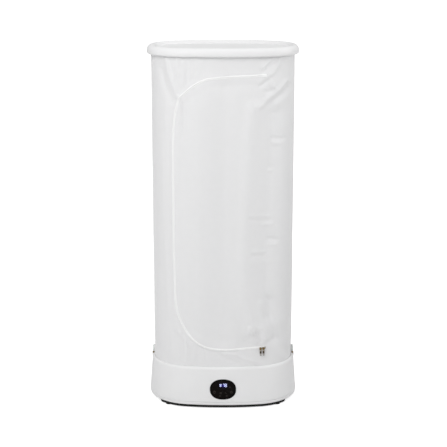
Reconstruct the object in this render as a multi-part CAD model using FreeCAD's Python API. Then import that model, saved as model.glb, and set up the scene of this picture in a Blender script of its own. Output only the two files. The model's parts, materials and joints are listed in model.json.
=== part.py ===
"""A free-standing fabric drying cabinet: fan base, pole frame, zipped cover and lid.

Millimetres. +Z is up, the front faces -Y, and the origin is on the floor under the middle.
"""
import FreeCAD, Part
import math
import os

V = FreeCAD.Vector

# ---- plan outline of the base: an oval of tangent arcs ----
HALF_WIDTH = 302.5
HALF_DEPTH = 212.0
FRONT_ARC = 985.0
SIDE_ARC = 443.0
CORNER_ARC = 179.0

# ---- heights ----
FOOT_HEIGHT = 5.0
PLATE_TOP = 16.2
TRIM_TOP = 27.7
RIM_TOP = 173.0
DECK_TOP = 150.0
OVERALL_HEIGHT = 1443.0

# ---- general clearances and walls ----
GAP = 0.3
TOUCH_RELIEF = 0.1
WALL = 3.0
SHEET_WALL = 1.2

# ---- base housing ----
SHOULDER_INSET = 9.8
RIM_ROUND = 14.0
RIM_INNER_INSET = 18.7
SEAM_CHAMFER = 1.2
TRIM_TUCK = 1.3
TRIM_ROUND = 4.0
TRIM_WALL = 5.0
PLATE_INSET = 5.5
PLATE_FLOOR = 3.0
PLATE_CORNER_X = HALF_WIDTH - 54.5
PLATE_CORNER_Y = HALF_DEPTH - 61.0
PLATE_END_X = HALF_WIDTH - 32.5
PLATE_END_Y = 60.0
TRIM_FLANGE = 56.0
TRIM_FLANGE_THICK = 2.5
FOOT_RADIUS = 11.0
FOOT_INSET = 17.1
FOOT_TURN = 37.5
BOSS_RADIUS = 6.0
BOSS_HOLE = 2.1
BOSS_X = 110.0
BOSS_INSET = 46.0
HOUSING_SCREW_LENGTH = 24.0
HOUSING_SCREW_RADIUS = 2.0
HOUSING_SCREW_HEAD = 4.0
HOUSING_SCREW_HEAD_HEIGHT = 3.0
FOOT_ROUND = 1.2

# ---- air path in the middle of the base ----
INTAKE_SLOTS = 24
INTAKE_SLOT = 4.4
INTAKE_INNER = 28.0
INTAKE_EDGE = 6.0
FILTER_PLEATS = 22
FILTER_PITCH = 6.0
FILTER_GROOVE = 2.4
FILTER_THICK = 3.0
SHROUD_RADIUS = 70.0
SHROUD_TOP = 97.0
SHROUD_FLANGE = 8.0
IMPELLER_GAP = 2.5
IMPELLER_BASE = 30.0
IMPELLER_HEIGHT = 22.0
IMPELLER_HUB = 24.0
BLADE_COUNT = 7
BLADE_THICK = 2.0
BLADE_PITCH_DEG = 38.0
SHAFT_RADIUS = 3.0
SHAFT_CLEARANCE = 0.05
MOTOR_RADIUS = 27.0
MOTOR_BASE = 57.0
MOTOR_HEIGHT = 32.0
ARM_WIDTH = 9.0
BRACKET_SKIRT = 6.0
BRACKET_SCREWS = 16.0
MOTOR_COLLAR_RADIUS = 9.0
MOTOR_COLLAR = 3.0
MOTOR_VENTS = 12
VENT_WIDTH = 3.0
VENT_HEIGHT = 12.0
SHAFT_TAIL = 8.0
SHAFT_END_GAP = 6.0
HUB_FLOOR = 4.0
HUB_WALL = 3.0
PRESS_GAP = 0.02
NUT_RADIUS = 5.5
NUT_HEIGHT = 5.0
ARM_COUNT = 4
DUCT_LENGTH = 170.0
DUCT_DEPTH = 130.0
DUCT_WALL = 5.0
LEDGE_WIDTH = 4.0
LEDGE_HEIGHT = 6.0
FIN_ROWS = 5
FIN_HEIGHT = 22.0
FIN_BASE = 106.0
FIN_PITCH = 6.0
FIN_THICK = 1.0
ELEMENT_THICK = 5.0
CUTOUT_RADIUS = 9.0
CUTOUT_THICK = 8.0
TAG_LENGTH = 7.0
TAG_WIDTH = 6.0
TAG_THICK = 0.8
GRILLE_MARGIN = 10.0
GRILLE_THICK = 2.5
GRILLE_CORNER = 8.0
LOUVRE_COUNT = 9
LOUVRE_SLOT = 7.0
LOUVRE_EDGE = 6.0
LOUVRE_SPINE = 8.0

# ---- small screws, all alike ----
SMALL_SCREW_RADIUS = 1.45
SMALL_SCREW_HEAD = 2.7
SMALL_SCREW_LENGTH = 8.0
SMALL_SCREW_HEAD_HEIGHT = 1.8
SMALL_HOLE = 1.6

# ---- control panel in the front wall ----
PANEL_Z = 82.3
PANEL_WIDTH = 105.0
PANEL_HEIGHT = 83.8
PANEL_FULLNESS = 2.25
PANEL_POINTS = 48
BEZEL_RING = 6.0
BEZEL_PROUD = 0.8
BEZEL_DEPTH = 10.0
BEZEL_FLANGE = 4.0
BEZEL_FLANGE_START = 4.8
BEZEL_FLANGE_THICK = 2.0
LENS_SET_BACK = 0.4
LENS_THICK = 3.0
BOARD_THICK = 1.6
DISPLAY_WIDTH = 40.0
DISPLAY_HEIGHT = 20.0
DISPLAY_THICK = 5.0
DISPLAY_RISE = 15.0
BOARD_HOLE_X = 36.0
BOARD_HOLE_Z = 28.0
POST_RADIUS = 3.5

CHIP_SIZE = 16.0
CHIP_THICK = 4.0
PLUG_WIDTH = 26.0
PLUG_HEIGHT = 14.0
PLUG_THICK = 9.0
SOUNDER_RADIUS = 5.0
SOUNDER_THICK = 10.0
BOARD_PART_X = 20.0
BOARD_PART_Z = 15.0

# ---- power inlet in the rear wall ----
INLET_X = 80.0
INLET_Z = 70.0
INLET_WIDTH = 31.0
INLET_HEIGHT = 22.0
INLET_DEPTH = 26.0
INLET_RECESS = 1.6
INLET_FLANGE = 50.0
INLET_PAD = 9.0
INLET_SCREW_EDGE = 5.0
INLET_FLANGE_THICK = 3.0
INLET_SCREW_HOLE = 7.0
SOCKET_WIDTH = 24.6
SOCKET_HEIGHT = 15.9
SOCKET_DEPTH = 16.0
PIN_WIDTH = 2.0
PIN_HEIGHT = 4.0
PIN_PITCH = 7.0
PIN_RISE = 2.0
PIN_LENGTH = 10.0
PIN_TAIL = 8.0

# ---- supply board, left of the fan ----
POWER_BOARD_X = -150.0
POWER_BOARD_Y = 60.0
POWER_BOARD_HALF_X = 45.0
POWER_BOARD_HALF_Y = 55.0
POST_HEIGHT = 10.0
POST_EDGE = 5.0
TRANSFORMER_WIDTH = 26.0
TRANSFORMER_LENGTH = 32.0
TRANSFORMER_HEIGHT = 24.0
RELAY_WIDTH = 20.0
RELAY_LENGTH = 16.0
RELAY_HEIGHT = 18.0
CAPACITOR_RADIUS = 9.0
CAPACITOR_HEIGHT = 30.0
TERMINAL_WIDTH = 26.0
TERMINAL_LENGTH = 34.0
TERMINAL_HEIGHT = 14.0
SUPPLY_PART_X = 20.0
SUPPLY_PART_Y = 26.0

# ---- pole frame ----
POLE_RADIUS = 8.0
POLE_INSET = 43.0
POLE_CLEARANCE = 0.05
SOCKET_CUP_WALL = 4.0
SOCKET_CUP_HEIGHT = 42.0
SOCKET_FLANGE = 18.0
SOCKET_FLOOR = 4.0
POLE_JOINT_Z = 768.0
COUPLER_LENGTH = 60.0
COUPLER_WALL = 2.0
RING_HEIGHT = 32.0
RING_WIDTH = 6.0
RING_BOSS_WALL = 4.0
RING_WEB = 20.0
RING_WEB_DROP = 6.0
POLE_ENTRY = 14.0
RAIL_RADIUS = 7.0
RAIL_DROP = 19.0
RAIL_CUP_WALL = 3.0
RAIL_CUP_DEPTH = 14.0

# ---- lid ----
BEAD_INSET = 3.8
BEAD_WIDTH = 17.1
BEAD_UPPER = 21.0
BEAD_LOWER = 13.0
BEAD_LIP = 14.2
DISH_DEPTH = 13.0
DISH_SLOPE = 17.1
RIB_INSET = 24.0
LID_LIFT = 60.0
SPIGOT_LENGTH = 34.0

# ---- cover ----
COVER_INSET_LOW = 19.5
COVER_INSET_HIGH = 20.8
COVER_THICK = 2.0
COVER_BASE = 158.0
COVER_TUCK = 3.0
SEAM_Y = 70.0
FOLD_SHIFT = 22.0
FOLD_RISE = 4.0
FOLD_HOLLOW = 4.0
FOLD_LEVELS = 7
HEM_WIDTH = 4.0
HEM_HEIGHT = 5.0

# ---- door and zip ----
HINGE_X = HALF_WIDTH - 136.5
HINGE_GAP = 0.4
HINGE_PROUD = 1.2
DOOR_LEFT = HALF_WIDTH - 110.0
DOOR_TOP_AT_HINGE = OVERALL_HEIGHT - 103.0
DOOR_TOP_RISE = 0.052
DOOR_BOTTOM_AT_HINGE = 253.0
DOOR_BOTTOM_RISE = 0.05
DOOR_TOP_CORNER = 150.0
DOOR_BOTTOM_CORNER = 195.0
ZIP_HALF = 3.6
ZIP_GAP = 0.4
ZIP_PROUD = 0.8
SLIDER_X = [HINGE_X - 16.0, HINGE_X - 4.4]
SLIDER_WIDTH = 8.4
SLIDER_HEIGHT = 10.0
SLIDER_THICK = 3.2
SLIDER_CLEAR = 0.8
SLIDER_TRAVEL = 60.0
SLIDER_ROUND = 2.0
BRIDGE_DROP = 3.2
BRIDGE_RADIUS = 1.0
CHEEK_THICK = 0.9
CHEEK_HALF = 2.2
BRIDGE_STAND = 3.4
PULL_WIDTH = 6.0
PULL_THICK = 1.4
PULL_LINK = 15.0
GRIP_LENGTH = 19.0
GRIP_WIDTH = 7.0
GRIP_THICK = 2.6
GRIP_ROUND = 1.6
GRIP_OVERLAP = 4.0
EYE_WALL = 1.3

STOP_OFFSET = 1.6
STOP_WIDTH = 2.8
STOP_LENGTH = 8.0
STOP_THICK = 1.2

# ---- side latches ----
LATCH_PIN_INSET = 14.0
LATCH_PIN_RADIUS = 2.0
LATCH_PIN_HEAD = 4.0
LATCH_PIN_HEAD_THICK = 2.0
LATCH_HALF_WIDTH = 16.6
LATCH_EAR_OUTER = 14.0
LATCH_EAR = 4.5
LATCH_EAR_RADIUS = 5.0
LATCH_BARREL_WALL = 3.0
LATCH_TOP_ROUND = 3.0
LATCH_FLOOR = 158.0
LATCH_LUG_TOP = 166.5
LATCH_LUG_PROUD = 1.0
LATCH_TOP = 200.0
LATCH_CLEARANCE = 0.08


def box(x_low, x_high, y_low, y_high, z_low, z_high):
    return Part.makeBox(x_high - x_low, y_high - y_low, z_high - z_low, V(x_low, y_low, z_low))


def rod(x, y, z_low, z_high, radius):
    return Part.makeCylinder(radius, z_high - z_low, V(x, y, z_low))


def pipe(x, y, z_low, z_high, outer, inner):
    return rod(x, y, z_low, z_high, outer).cut(rod(x, y, z_low - 1, z_high + 1, inner))


def four(x, y):
    return [(sx * x, sy * y) for sy in (-1, 1) for sx in (-1, 1)]


def save(name, shape):
    if shape.ShapeType == "Compound" and len(shape.Solids) == 1:
        shape = shape.Solids[0]
    if not shape.isValid():
        raise ValueError(name + " is not a valid solid")
    shape.exportStep("parts/" + name + ".step")


# ---- the oval and the solids that follow it ----

def corner_centre():
    """Centre of the arc that joins the back arc and the right side arc."""
    back = V(0, HALF_DEPTH - FRONT_ARC, 0)
    side = V(HALF_WIDTH - SIDE_ARC, 0, 0)
    from_back = FRONT_ARC - CORNER_ARC
    from_side = SIDE_ARC - CORNER_ARC
    line = side.sub(back)
    distance = line.Length
    along = (from_back ** 2 - from_side ** 2 + distance ** 2) / (2 * distance)
    across = math.sqrt(from_back ** 2 - along ** 2)
    line.normalize()
    left = V(-line.y, line.x, 0)
    places = [back + line * along + left * (across * sign) for sign in (-1, 1)]
    return max(places, key=lambda place: place.x + place.y)


CORNER = corner_centre()


def oval_points(inset):
    """End and middle points of the arcs in the +X +Y quarter, for an outline moved inwards."""
    back = V(0, HALF_DEPTH - FRONT_ARC, 0)
    side = V(HALF_WIDTH - SIDE_ARC, 0, 0)
    to_back = (CORNER - back).normalize()
    to_side = (CORNER - side).normalize()
    start = CORNER + to_side * (CORNER_ARC - inset)
    end = CORNER + to_back * (CORNER_ARC - inset)
    half_way = (to_side + to_back).normalize()
    middle = CORNER + half_way * (CORNER_ARC - inset)
    return start, middle, end


def arc(first, middle, last):
    return Part.Arc(first, middle, last).toShape()


def oval_wire(inset, z, fold=0.0):
    """The outline at one height. fold, 0 to 1, pulls the hinge fold out of the right front corner."""
    start, middle, end = oval_points(inset)

    def at(point, sign_x, sign_y):
        return V(point.x * sign_x, point.y * sign_y, z)

    front_right = at(end, 1, -1) + V(-FOLD_SHIFT * fold, 0, 0)
    front_right.y = -(HALF_DEPTH - FRONT_ARC) - math.sqrt((FRONT_ARC - inset) ** 2 - front_right.x ** 2)
    front_right.y -= FOLD_RISE * fold
    corner_right = at(middle, 1, -1) + V(-FOLD_HOLLOW * fold, FOLD_HOLLOW * fold, 0)
    front_middle = V(0, -(HALF_DEPTH - inset), z)
    edges = [
        arc(at(start, 1, -1), V(HALF_WIDTH - inset, 0, z), at(start, 1, 1)),
        arc(at(start, 1, 1), at(middle, 1, 1), at(end, 1, 1)),
        arc(at(end, 1, 1), V(0, HALF_DEPTH - inset, z), at(end, -1, 1)),
        arc(at(end, -1, 1), at(middle, -1, 1), at(start, -1, 1)),
        arc(at(start, -1, 1), V(inset - HALF_WIDTH, 0, z), at(start, -1, -1)),
        arc(at(start, -1, -1), at(middle, -1, -1), at(end, -1, -1)),
        arc(at(end, -1, -1), front_middle, front_right),
        arc(front_right, corner_right, at(start, 1, -1)),
    ]
    return Part.Wire(edges)


def stack(profile):
    """A solid through ovals, from pairs of inset and height."""
    wires = [oval_wire(inset, z) for inset, z in profile]
    return Part.makeLoft(wires, True, True)


def prism(inset, z_low, z_high):
    face = Part.Face(oval_wire(inset, z_low))
    return face.extrude(V(0, 0, z_high - z_low))


def front_y(x, inset):
    """Y of the front wall of an outline, moved inwards by inset, at a given x."""
    end = oval_points(inset)[2]
    if abs(x) <= end.x:
        return -(HALF_DEPTH - FRONT_ARC) - math.sqrt((FRONT_ARC - inset) ** 2 - x ** 2)
    reach = CORNER_ARC - inset
    return -CORNER.y - math.sqrt(reach ** 2 - (abs(x) - CORNER.x) ** 2)


def quarter(inset_from, z_from, inset_to, z_to, steps, bulge_first):
    """Pairs along a quarter ellipse. bulge_first says which end is the upright one."""
    pairs = []
    for step in range(steps + 1):
        angle = math.pi / 2 * step / steps
        if bulge_first:
            share_inset = 1 - math.cos(angle)
            share_z = math.sin(angle)
        else:
            share_inset = math.sin(angle)
            share_z = 1 - math.cos(angle)
        inset = inset_from + (inset_to - inset_from) * share_inset
        pairs.append((inset, z_from + (z_to - z_from) * share_z))
    return pairs


def corner_places(inset):
    """The four points half way round the corners of an outline moved inwards."""
    middle = oval_points(inset)[1]
    return four(middle.x, middle.y)


def foot_places():
    """The four points under the housing's corners, turned towards the front and the back."""
    turn = math.radians(FOOT_TURN)
    reach = CORNER_ARC - FOOT_INSET
    return four(CORNER.x + reach * math.sin(turn), CORNER.y + reach * math.cos(turn))


def boss_places():
    """Screw bosses: two along the front, two along the back and one at each end."""
    reach_y = front_y(BOSS_X, BOSS_INSET)
    reach_x = HALF_WIDTH - BOSS_INSET
    return four(BOSS_X, reach_y) + [(reach_x, 0.0), (-reach_x, 0.0)]


def pole_places():
    return corner_places(POLE_INSET)


# ---- base housing and its panels ----

def wall_inset(z):
    """Inset of the housing's outer wall, which leans in towards the rim."""
    shoulder = RIM_TOP - RIM_ROUND
    return SHOULDER_INSET * (z - TRIM_TOP) / (shoulder - TRIM_TOP)


LEAN_DEG = math.degrees(math.atan(SHOULDER_INSET / (RIM_TOP - RIM_ROUND - TRIM_TOP)))


def housing_outer():
    bottom = TRIM_TOP + 2 * GAP
    shoulder = RIM_TOP - RIM_ROUND
    profile = [(SEAM_CHAMFER, bottom), (wall_inset(bottom + SEAM_CHAMFER), bottom + SEAM_CHAMFER)]
    rim_outer = wall_inset(shoulder)
    profile += quarter(rim_outer, shoulder, RIM_INNER_INSET, RIM_TOP, 5, True)
    return stack(profile)


def panel_frame(shape):
    """Places a piece made about the origin, facing -Y, on the leaning front wall."""
    shape = shape.copy()
    shape.rotate(V(0, 0, 0), V(1, 0, 0), -LEAN_DEG)
    shape.translate(V(0, -(HALF_DEPTH - wall_inset(PANEL_Z)), PANEL_Z))
    return shape


def oval_plate(width, height, y_low, y_high):
    """A plate in the XZ plane, from y_low to y_high, whose outline is fuller than an ellipse."""
    points = []
    for step in range(PANEL_POINTS):
        angle = 2 * math.pi * step / PANEL_POINTS
        x, z = math.cos(angle), math.sin(angle)
        reach = (abs(x) ** PANEL_FULLNESS + abs(z) ** PANEL_FULLNESS) ** (-1 / PANEL_FULLNESS)
        points.append(V(x * reach * width / 2, y_low, z * reach * height / 2))
    outline = Part.BSplineCurve()
    outline.interpolate(points, PeriodicFlag=True)
    face = Part.Face(Part.Wire([outline.toShape()]))
    return face.extrude(V(0, y_high - y_low, 0))


def latch_pocket(side, grow):
    """The notch in the rim that a latch lug fills; grow is the clearance round it."""
    inner = HALF_WIDTH - RIM_INNER_INSET - 1
    half = LATCH_HALF_WIDTH + grow
    low = min(side * inner, side * HALF_WIDTH)
    high = max(side * inner, side * HALF_WIDTH)
    return box(low, high, -half, half, LATCH_FLOOR - grow, RIM_TOP + 1)


def inlet_pad():
    """Thick flat-backed spot of the rear wall that the inlet screws to."""
    half_width = INLET_FLANGE / 2 + WALL
    half_height = INLET_HEIGHT / 2 + 2 * WALL
    return box(INLET_X - half_width, INLET_X + half_width, pad_back(), HALF_DEPTH,
               INLET_Z - half_height, INLET_Z + half_height)


def pad_back():
    return rear_y(INLET_X) - INLET_PAD


def rear_y(x):
    return -front_y(x, wall_inset(INLET_Z))


def inlet_screw_places():
    return [INLET_X + sign * (INLET_FLANGE / 2 - INLET_SCREW_EDGE) for sign in (-1, 1)]


def base_housing():
    outer = housing_outer()
    bottom = TRIM_TOP + 2 * GAP
    deck_under = DECK_TOP - WALL
    inside = stack([(wall_inset(bottom) + WALL, bottom - 1), (wall_inset(deck_under) + WALL, deck_under)])
    shape = outer.cut(inside)
    shape = shape.cut(prism(RIM_INNER_INSET, DECK_TOP, RIM_TOP + 1))
    shape = shape.fuse(inlet_pad().common(outer))
    for x, y in boss_places():
        shape = shape.fuse(rod(x, y, bottom, deck_under, BOSS_RADIUS))
    shape = shape.cut(box(-DUCT_LENGTH / 2, DUCT_LENGTH / 2, -DUCT_DEPTH / 2, DUCT_DEPTH / 2,
                          deck_under - 1, DECK_TOP + 1))
    cuts = []
    hole_width = PANEL_WIDTH + 2 * GAP
    hole_height = PANEL_HEIGHT + 2 * GAP
    cuts.append(panel_frame(oval_plate(hole_width, hole_height, -BEZEL_DEPTH, BEZEL_DEPTH)))
    half_w = INLET_WIDTH / 2 + GAP
    half_h = INLET_HEIGHT / 2 + GAP
    cuts.append(box(INLET_X - half_w, INLET_X + half_w, pad_back() - 1, HALF_DEPTH + 1,
                    INLET_Z - half_h, INLET_Z + half_h))
    for x in inlet_screw_places():
        start = V(x, pad_back() - 1, INLET_Z)
        cuts.append(Part.makeCylinder(SMALL_HOLE, INLET_SCREW_HOLE, start, V(0, 1, 0)))
    for side in (-1, 1):
        cuts.append(latch_pocket(side, GAP))
    for x, y in boss_places():
        cuts.append(rod(x, y, bottom - 1, bottom + HOUSING_SCREW_LENGTH, BOSS_HOLE))
    for x, y in grille_screw_places() + socket_screw_places():
        cuts.append(rod(x, y, deck_under - 1, DECK_TOP + 1, SMALL_HOLE))
    return shape.cut(Part.makeCompound(cuts)).removeSplitter()


def bottom_trim():
    """White ring under the seam groove. The housing screws clamp its flange, which closes the corners."""
    low = PLATE_TOP + GAP
    lower = [(TRIM_TUCK, low), (0, low + TRIM_ROUND)]
    upper = [(0, TRIM_TOP - SEAM_CHAMFER), (SEAM_CHAMFER, TRIM_TOP)]
    outer = stack(lower + upper)
    shape = outer.cut(prism(TRIM_WALL, low - 1, TRIM_TOP + 1))
    flange = prism(WALL, low, low + TRIM_FLANGE_THICK)
    shape = shape.fuse(flange.cut(prism(TRIM_FLANGE, low - 1, TRIM_TOP)))
    for x, y in boss_places():
        shape = shape.fuse(trim_tab(x, y, low))
    for x, y in boss_places():
        shape = shape.cut(rod(x, y, low - 1, TRIM_TOP + 1, BOSS_HOLE))
    return shape.removeSplitter()


def trim_tab(x, y, low):
    """A lug from the ring in to one boss."""
    half = BOSS_RADIUS
    end_x = x
    end_y = y
    if y == 0:
        end_x = math.copysign(HALF_WIDTH - WALL, x)
    else:
        end_y = math.copysign(HALF_DEPTH - WALL, y)
    tab = box(min(x, end_x) - half, max(x, end_x) + half, min(y, end_y) - half, max(y, end_y) + half,
              low, TRIM_TOP)
    return tab.common(prism(WALL, low, TRIM_TOP))


def plate_plan(shrink, z_low, z_high):
    """The tray's outline, moved inwards by shrink: the oval with its four corners cut off."""
    end_x = PLATE_END_X - shrink
    slope = (PLATE_END_X - PLATE_CORNER_X) / (PLATE_CORNER_Y - PLATE_END_Y)
    far_x = end_x - slope * (HALF_DEPTH - PLATE_END_Y)
    places = [(far_x, -HALF_DEPTH), (end_x, -PLATE_END_Y), (end_x, PLATE_END_Y), (far_x, HALF_DEPTH)]
    places += [(-x, y) for x, y in reversed(places)]
    outline = Part.makePolygon([V(x, y, z_low) for x, y in places + places[:1]])
    sides = Part.Face(outline).extrude(V(0, 0, z_high - z_low))
    return sides.common(prism(PLATE_INSET + shrink, z_low, z_high))


def bottom_plate():
    """Black tray with radial intake slots under the fan and a hole at each boss."""
    shape = plate_plan(0, FOOT_HEIGHT, PLATE_TOP)
    shape = shape.cut(plate_plan(WALL, FOOT_HEIGHT + PLATE_FLOOR, PLATE_TOP + 1))
    floor_top = FOOT_HEIGHT + PLATE_FLOOR
    for x, y in boss_places():
        shape = shape.fuse(rod(x, y, floor_top, PLATE_TOP, BOSS_RADIUS))
    cuts = []
    for x, y in boss_places():
        cuts.append(rod(x, y, FOOT_HEIGHT - 1, PLATE_TOP + 1, BOSS_HOLE))
        cuts.append(rod(x, y, FOOT_HEIGHT - 1, screw_seat(), HOUSING_SCREW_HEAD + GAP))
    for index in range(INTAKE_SLOTS):
        slot = box(INTAKE_INNER, SHROUD_RADIUS - INTAKE_EDGE, -INTAKE_SLOT / 2, INTAKE_SLOT / 2,
                   FOOT_HEIGHT - 1, floor_top + 1)
        slot.rotate(V(0, 0, 0), V(0, 0, 1), 360.0 / INTAKE_SLOTS * index)
        cuts.append(slot)
    return shape.cut(Part.makeCompound(cuts)).removeSplitter()


def rubber_feet():
    feet = []
    for x, y in foot_places():
        foot = rod(x, y, 0, FOOT_HEIGHT, FOOT_RADIUS)
        lower_rim = [edge for edge in foot.Edges if edge.Length > 2 * FOOT_RADIUS and edge.CenterOfMass.z < 1]
        feet.append(foot.makeFillet(FOOT_ROUND, lower_rim))
    return Part.makeCompound(feet)


def screw_seat():
    """Height of the ledge in the bottom plate that the housing screws' heads press on."""
    return FOOT_HEIGHT + HOUSING_SCREW_HEAD_HEIGHT + 1


def housing_screws():
    screws = []
    top = screw_seat() - TOUCH_RELIEF
    low = top - HOUSING_SCREW_HEAD_HEIGHT
    for x, y in boss_places():
        head = rod(x, y, low, top, HOUSING_SCREW_HEAD)
        stem = rod(x, y, top, top + HOUSING_SCREW_LENGTH, HOUSING_SCREW_RADIUS)
        socket = rod(x, y, low - 1, low + HOUSING_SCREW_HEAD_HEIGHT / 2, HOUSING_SCREW_RADIUS * 0.75)
        screws.append(head.fuse(stem).cut(socket))
    return Part.makeCompound(screws)


# ---- air path ----

def intake_filter():
    """Round pleated pad between the bottom plate and the shroud."""
    low = FOOT_HEIGHT + PLATE_FLOOR + TOUCH_RELIEF
    pad = rod(0, 0, low, low + FILTER_THICK, SHROUD_RADIUS - 1)
    grooves = []
    for index in range(FILTER_PLEATS):
        y = (index - (FILTER_PLEATS - 1) / 2) * FILTER_PITCH
        reach = SHROUD_RADIUS - WALL - 1
        if abs(y) + FILTER_GROOVE > reach:
            continue
        half = math.sqrt(reach ** 2 - y ** 2)
        grooves.append(box(-half, half, y - FILTER_GROOVE / 2, y + FILTER_GROOVE / 2,
                           low + FILTER_THICK / 2, low + FILTER_THICK + 1))
    return pad.cut(Part.makeCompound(grooves))


def shroud_base():
    return FOOT_HEIGHT + PLATE_FLOOR + TOUCH_RELIEF


def fan_shroud():
    low = shroud_base()
    shape = pipe(0, 0, low, SHROUD_TOP, SHROUD_RADIUS + WALL, SHROUD_RADIUS)
    foot = pipe(0, 0, low, low + WALL, SHROUD_RADIUS + WALL + SHROUD_FLANGE, SHROUD_RADIUS)
    half_l = DUCT_LENGTH / 2
    half_d = DUCT_DEPTH / 2 + SHROUD_FLANGE
    flange = box(-half_l, half_l, -half_d, half_d, SHROUD_TOP - WALL, SHROUD_TOP)
    flange = flange.cut(rod(0, 0, SHROUD_TOP - WALL - 1, SHROUD_TOP + 1, SHROUD_RADIUS))
    return shape.fuse([foot, flange]).removeSplitter()


def motor_top():
    return MOTOR_BASE + MOTOR_HEIGHT


def motor_bracket():
    """Ring and arms across the shroud that carry the motor."""
    low = motor_top() + TOUCH_RELIEF
    high = low + WALL
    shape = rod(0, 0, low, high, MOTOR_RADIUS)
    reach = SHROUD_RADIUS - TOUCH_RELIEF
    shape = shape.fuse(pipe(0, 0, low - BRACKET_SKIRT, high, reach, reach - WALL))
    for index in range(ARM_COUNT):
        arm = box(MOTOR_RADIUS - WALL, reach - 1, -ARM_WIDTH / 2, ARM_WIDTH / 2, low, high)
        arm.rotate(V(0, 0, 0), V(0, 0, 1), 360.0 / ARM_COUNT * index + 45)
        shape = shape.fuse(arm)
    for x, y in bracket_screw_places():
        shape = shape.cut(rod(x, y, low - 1, high + 1, SMALL_HOLE))
    return shape.removeSplitter()


def bracket_screw_places():
    return [(BRACKET_SCREWS, 0.0), (-BRACKET_SCREWS, 0.0), (0.0, BRACKET_SCREWS), (0.0, -BRACKET_SCREWS)]


def fan_motor():
    shape = rod(0, 0, MOTOR_BASE, motor_top(), MOTOR_RADIUS)
    shape = shape.fuse(rod(0, 0, MOTOR_BASE - MOTOR_COLLAR, MOTOR_BASE, MOTOR_COLLAR_RADIUS))
    shape = shape.cut(rod(0, 0, MOTOR_BASE - MOTOR_COLLAR - 1, shaft_top() + 1, SHAFT_RADIUS + SHAFT_CLEARANCE))
    cuts = []
    for x, y in bracket_screw_places():
        cuts.append(rod(x, y, motor_top() - SMALL_SCREW_LENGTH, motor_top() + 1, SMALL_HOLE))
    for index in range(MOTOR_VENTS):
        vent = box(MOTOR_RADIUS - VENT_WIDTH, MOTOR_RADIUS + 1, -VENT_WIDTH / 2, VENT_WIDTH / 2,
                   MOTOR_BASE + VENT_HEIGHT / 2, MOTOR_BASE + 1.5 * VENT_HEIGHT)
        vent.rotate(V(0, 0, 0), V(0, 0, 1), 360.0 / MOTOR_VENTS * index)
        cuts.append(vent)
    return shape.cut(Part.makeCompound(cuts))


def shaft_top():
    return motor_top() - SHAFT_END_GAP


def motor_shaft():
    return rod(0, 0, IMPELLER_BASE - SHAFT_TAIL, shaft_top(), SHAFT_RADIUS)


def fan_impeller():
    """Axial impeller: a hub with pitched blades, pressed on the shaft."""
    low = IMPELLER_BASE
    high = low + IMPELLER_HEIGHT
    shape = rod(0, 0, low, high, IMPELLER_HUB)
    shape = shape.cut(rod(0, 0, low + HUB_FLOOR, high + 1, IMPELLER_HUB - HUB_WALL))
    shape = shape.fuse(rod(0, 0, low, high - HUB_FLOOR, SHAFT_RADIUS + HUB_WALL))
    tip = SHROUD_RADIUS - IMPELLER_GAP
    envelope = pipe(0, 0, low, high, tip, IMPELLER_HUB - 1)
    middle = (low + high) / 2
    for index in range(BLADE_COUNT):
        blade = box(IMPELLER_HUB - HUB_WALL, tip + 1, -BLADE_THICK / 2, BLADE_THICK / 2,
                    middle - 2 * IMPELLER_HEIGHT, middle + 2 * IMPELLER_HEIGHT)
        blade.rotate(V(0, 0, middle), V(1, 0, 0), 90 - BLADE_PITCH_DEG)
        blade.rotate(V(0, 0, 0), V(0, 0, 1), 360.0 / BLADE_COUNT * index)
        shape = shape.fuse(blade.common(envelope))
    return shape.cut(rod(0, 0, low - 1, high + 1, SHAFT_RADIUS + PRESS_GAP)).removeSplitter()


def impeller_nut():
    top = IMPELLER_BASE - TOUCH_RELIEF
    corners = [math.radians(60 * step) for step in range(7)]
    low = top - NUT_HEIGHT
    outline = Part.makePolygon([V(NUT_RADIUS * math.cos(a), NUT_RADIUS * math.sin(a), low) for a in corners])
    nut = Part.Face(Part.Wire(outline.Edges)).extrude(V(0, 0, NUT_HEIGHT))
    return nut.cut(rod(0, 0, low - 1, top + 1, SHAFT_RADIUS + PRESS_GAP))


def heater_frame():
    """Rectangular duct from the shroud's flange up to the deck opening."""
    low = SHROUD_TOP + TOUCH_RELIEF
    high = DECK_TOP - WALL - TOUCH_RELIEF
    half_l = DUCT_LENGTH / 2
    half_d = DUCT_DEPTH / 2
    shape = box(-half_l, half_l, -half_d, half_d, low, high)
    bore_l = half_l - DUCT_WALL
    bore_d = half_d - DUCT_WALL
    shape = shape.cut(box(-bore_l, bore_l, -bore_d, bore_d, low - 1, high + 1))
    ledge = LEDGE_WIDTH + 1
    for row in range(FIN_ROWS - 1):
        y = element_y(row)
        for x in (-bore_l - 1, bore_l + 1 - ledge):
            shape = shape.fuse(box(x, x + ledge, y - LEDGE_WIDTH, y + LEDGE_WIDTH,
                                   FIN_BASE - LEDGE_HEIGHT, FIN_BASE - TOUCH_RELIEF))
    return shape.removeSplitter()


def element_pitch():
    return (DUCT_DEPTH - 2 * DUCT_WALL) / FIN_ROWS


def element_y(row):
    return (row - (FIN_ROWS - 2) / 2) * element_pitch()


def heater_elements():
    """Ceramic bars between the fin packs."""
    half_l = DUCT_LENGTH / 2 - DUCT_WALL - TOUCH_RELIEF
    bars = []
    for row in range(FIN_ROWS - 1):
        y = element_y(row)
        bars.append(box(-half_l, half_l, y - ELEMENT_THICK / 2, y + ELEMENT_THICK / 2,
                        FIN_BASE, FIN_BASE + FIN_HEIGHT))
    return Part.makeCompound(bars)


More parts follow.
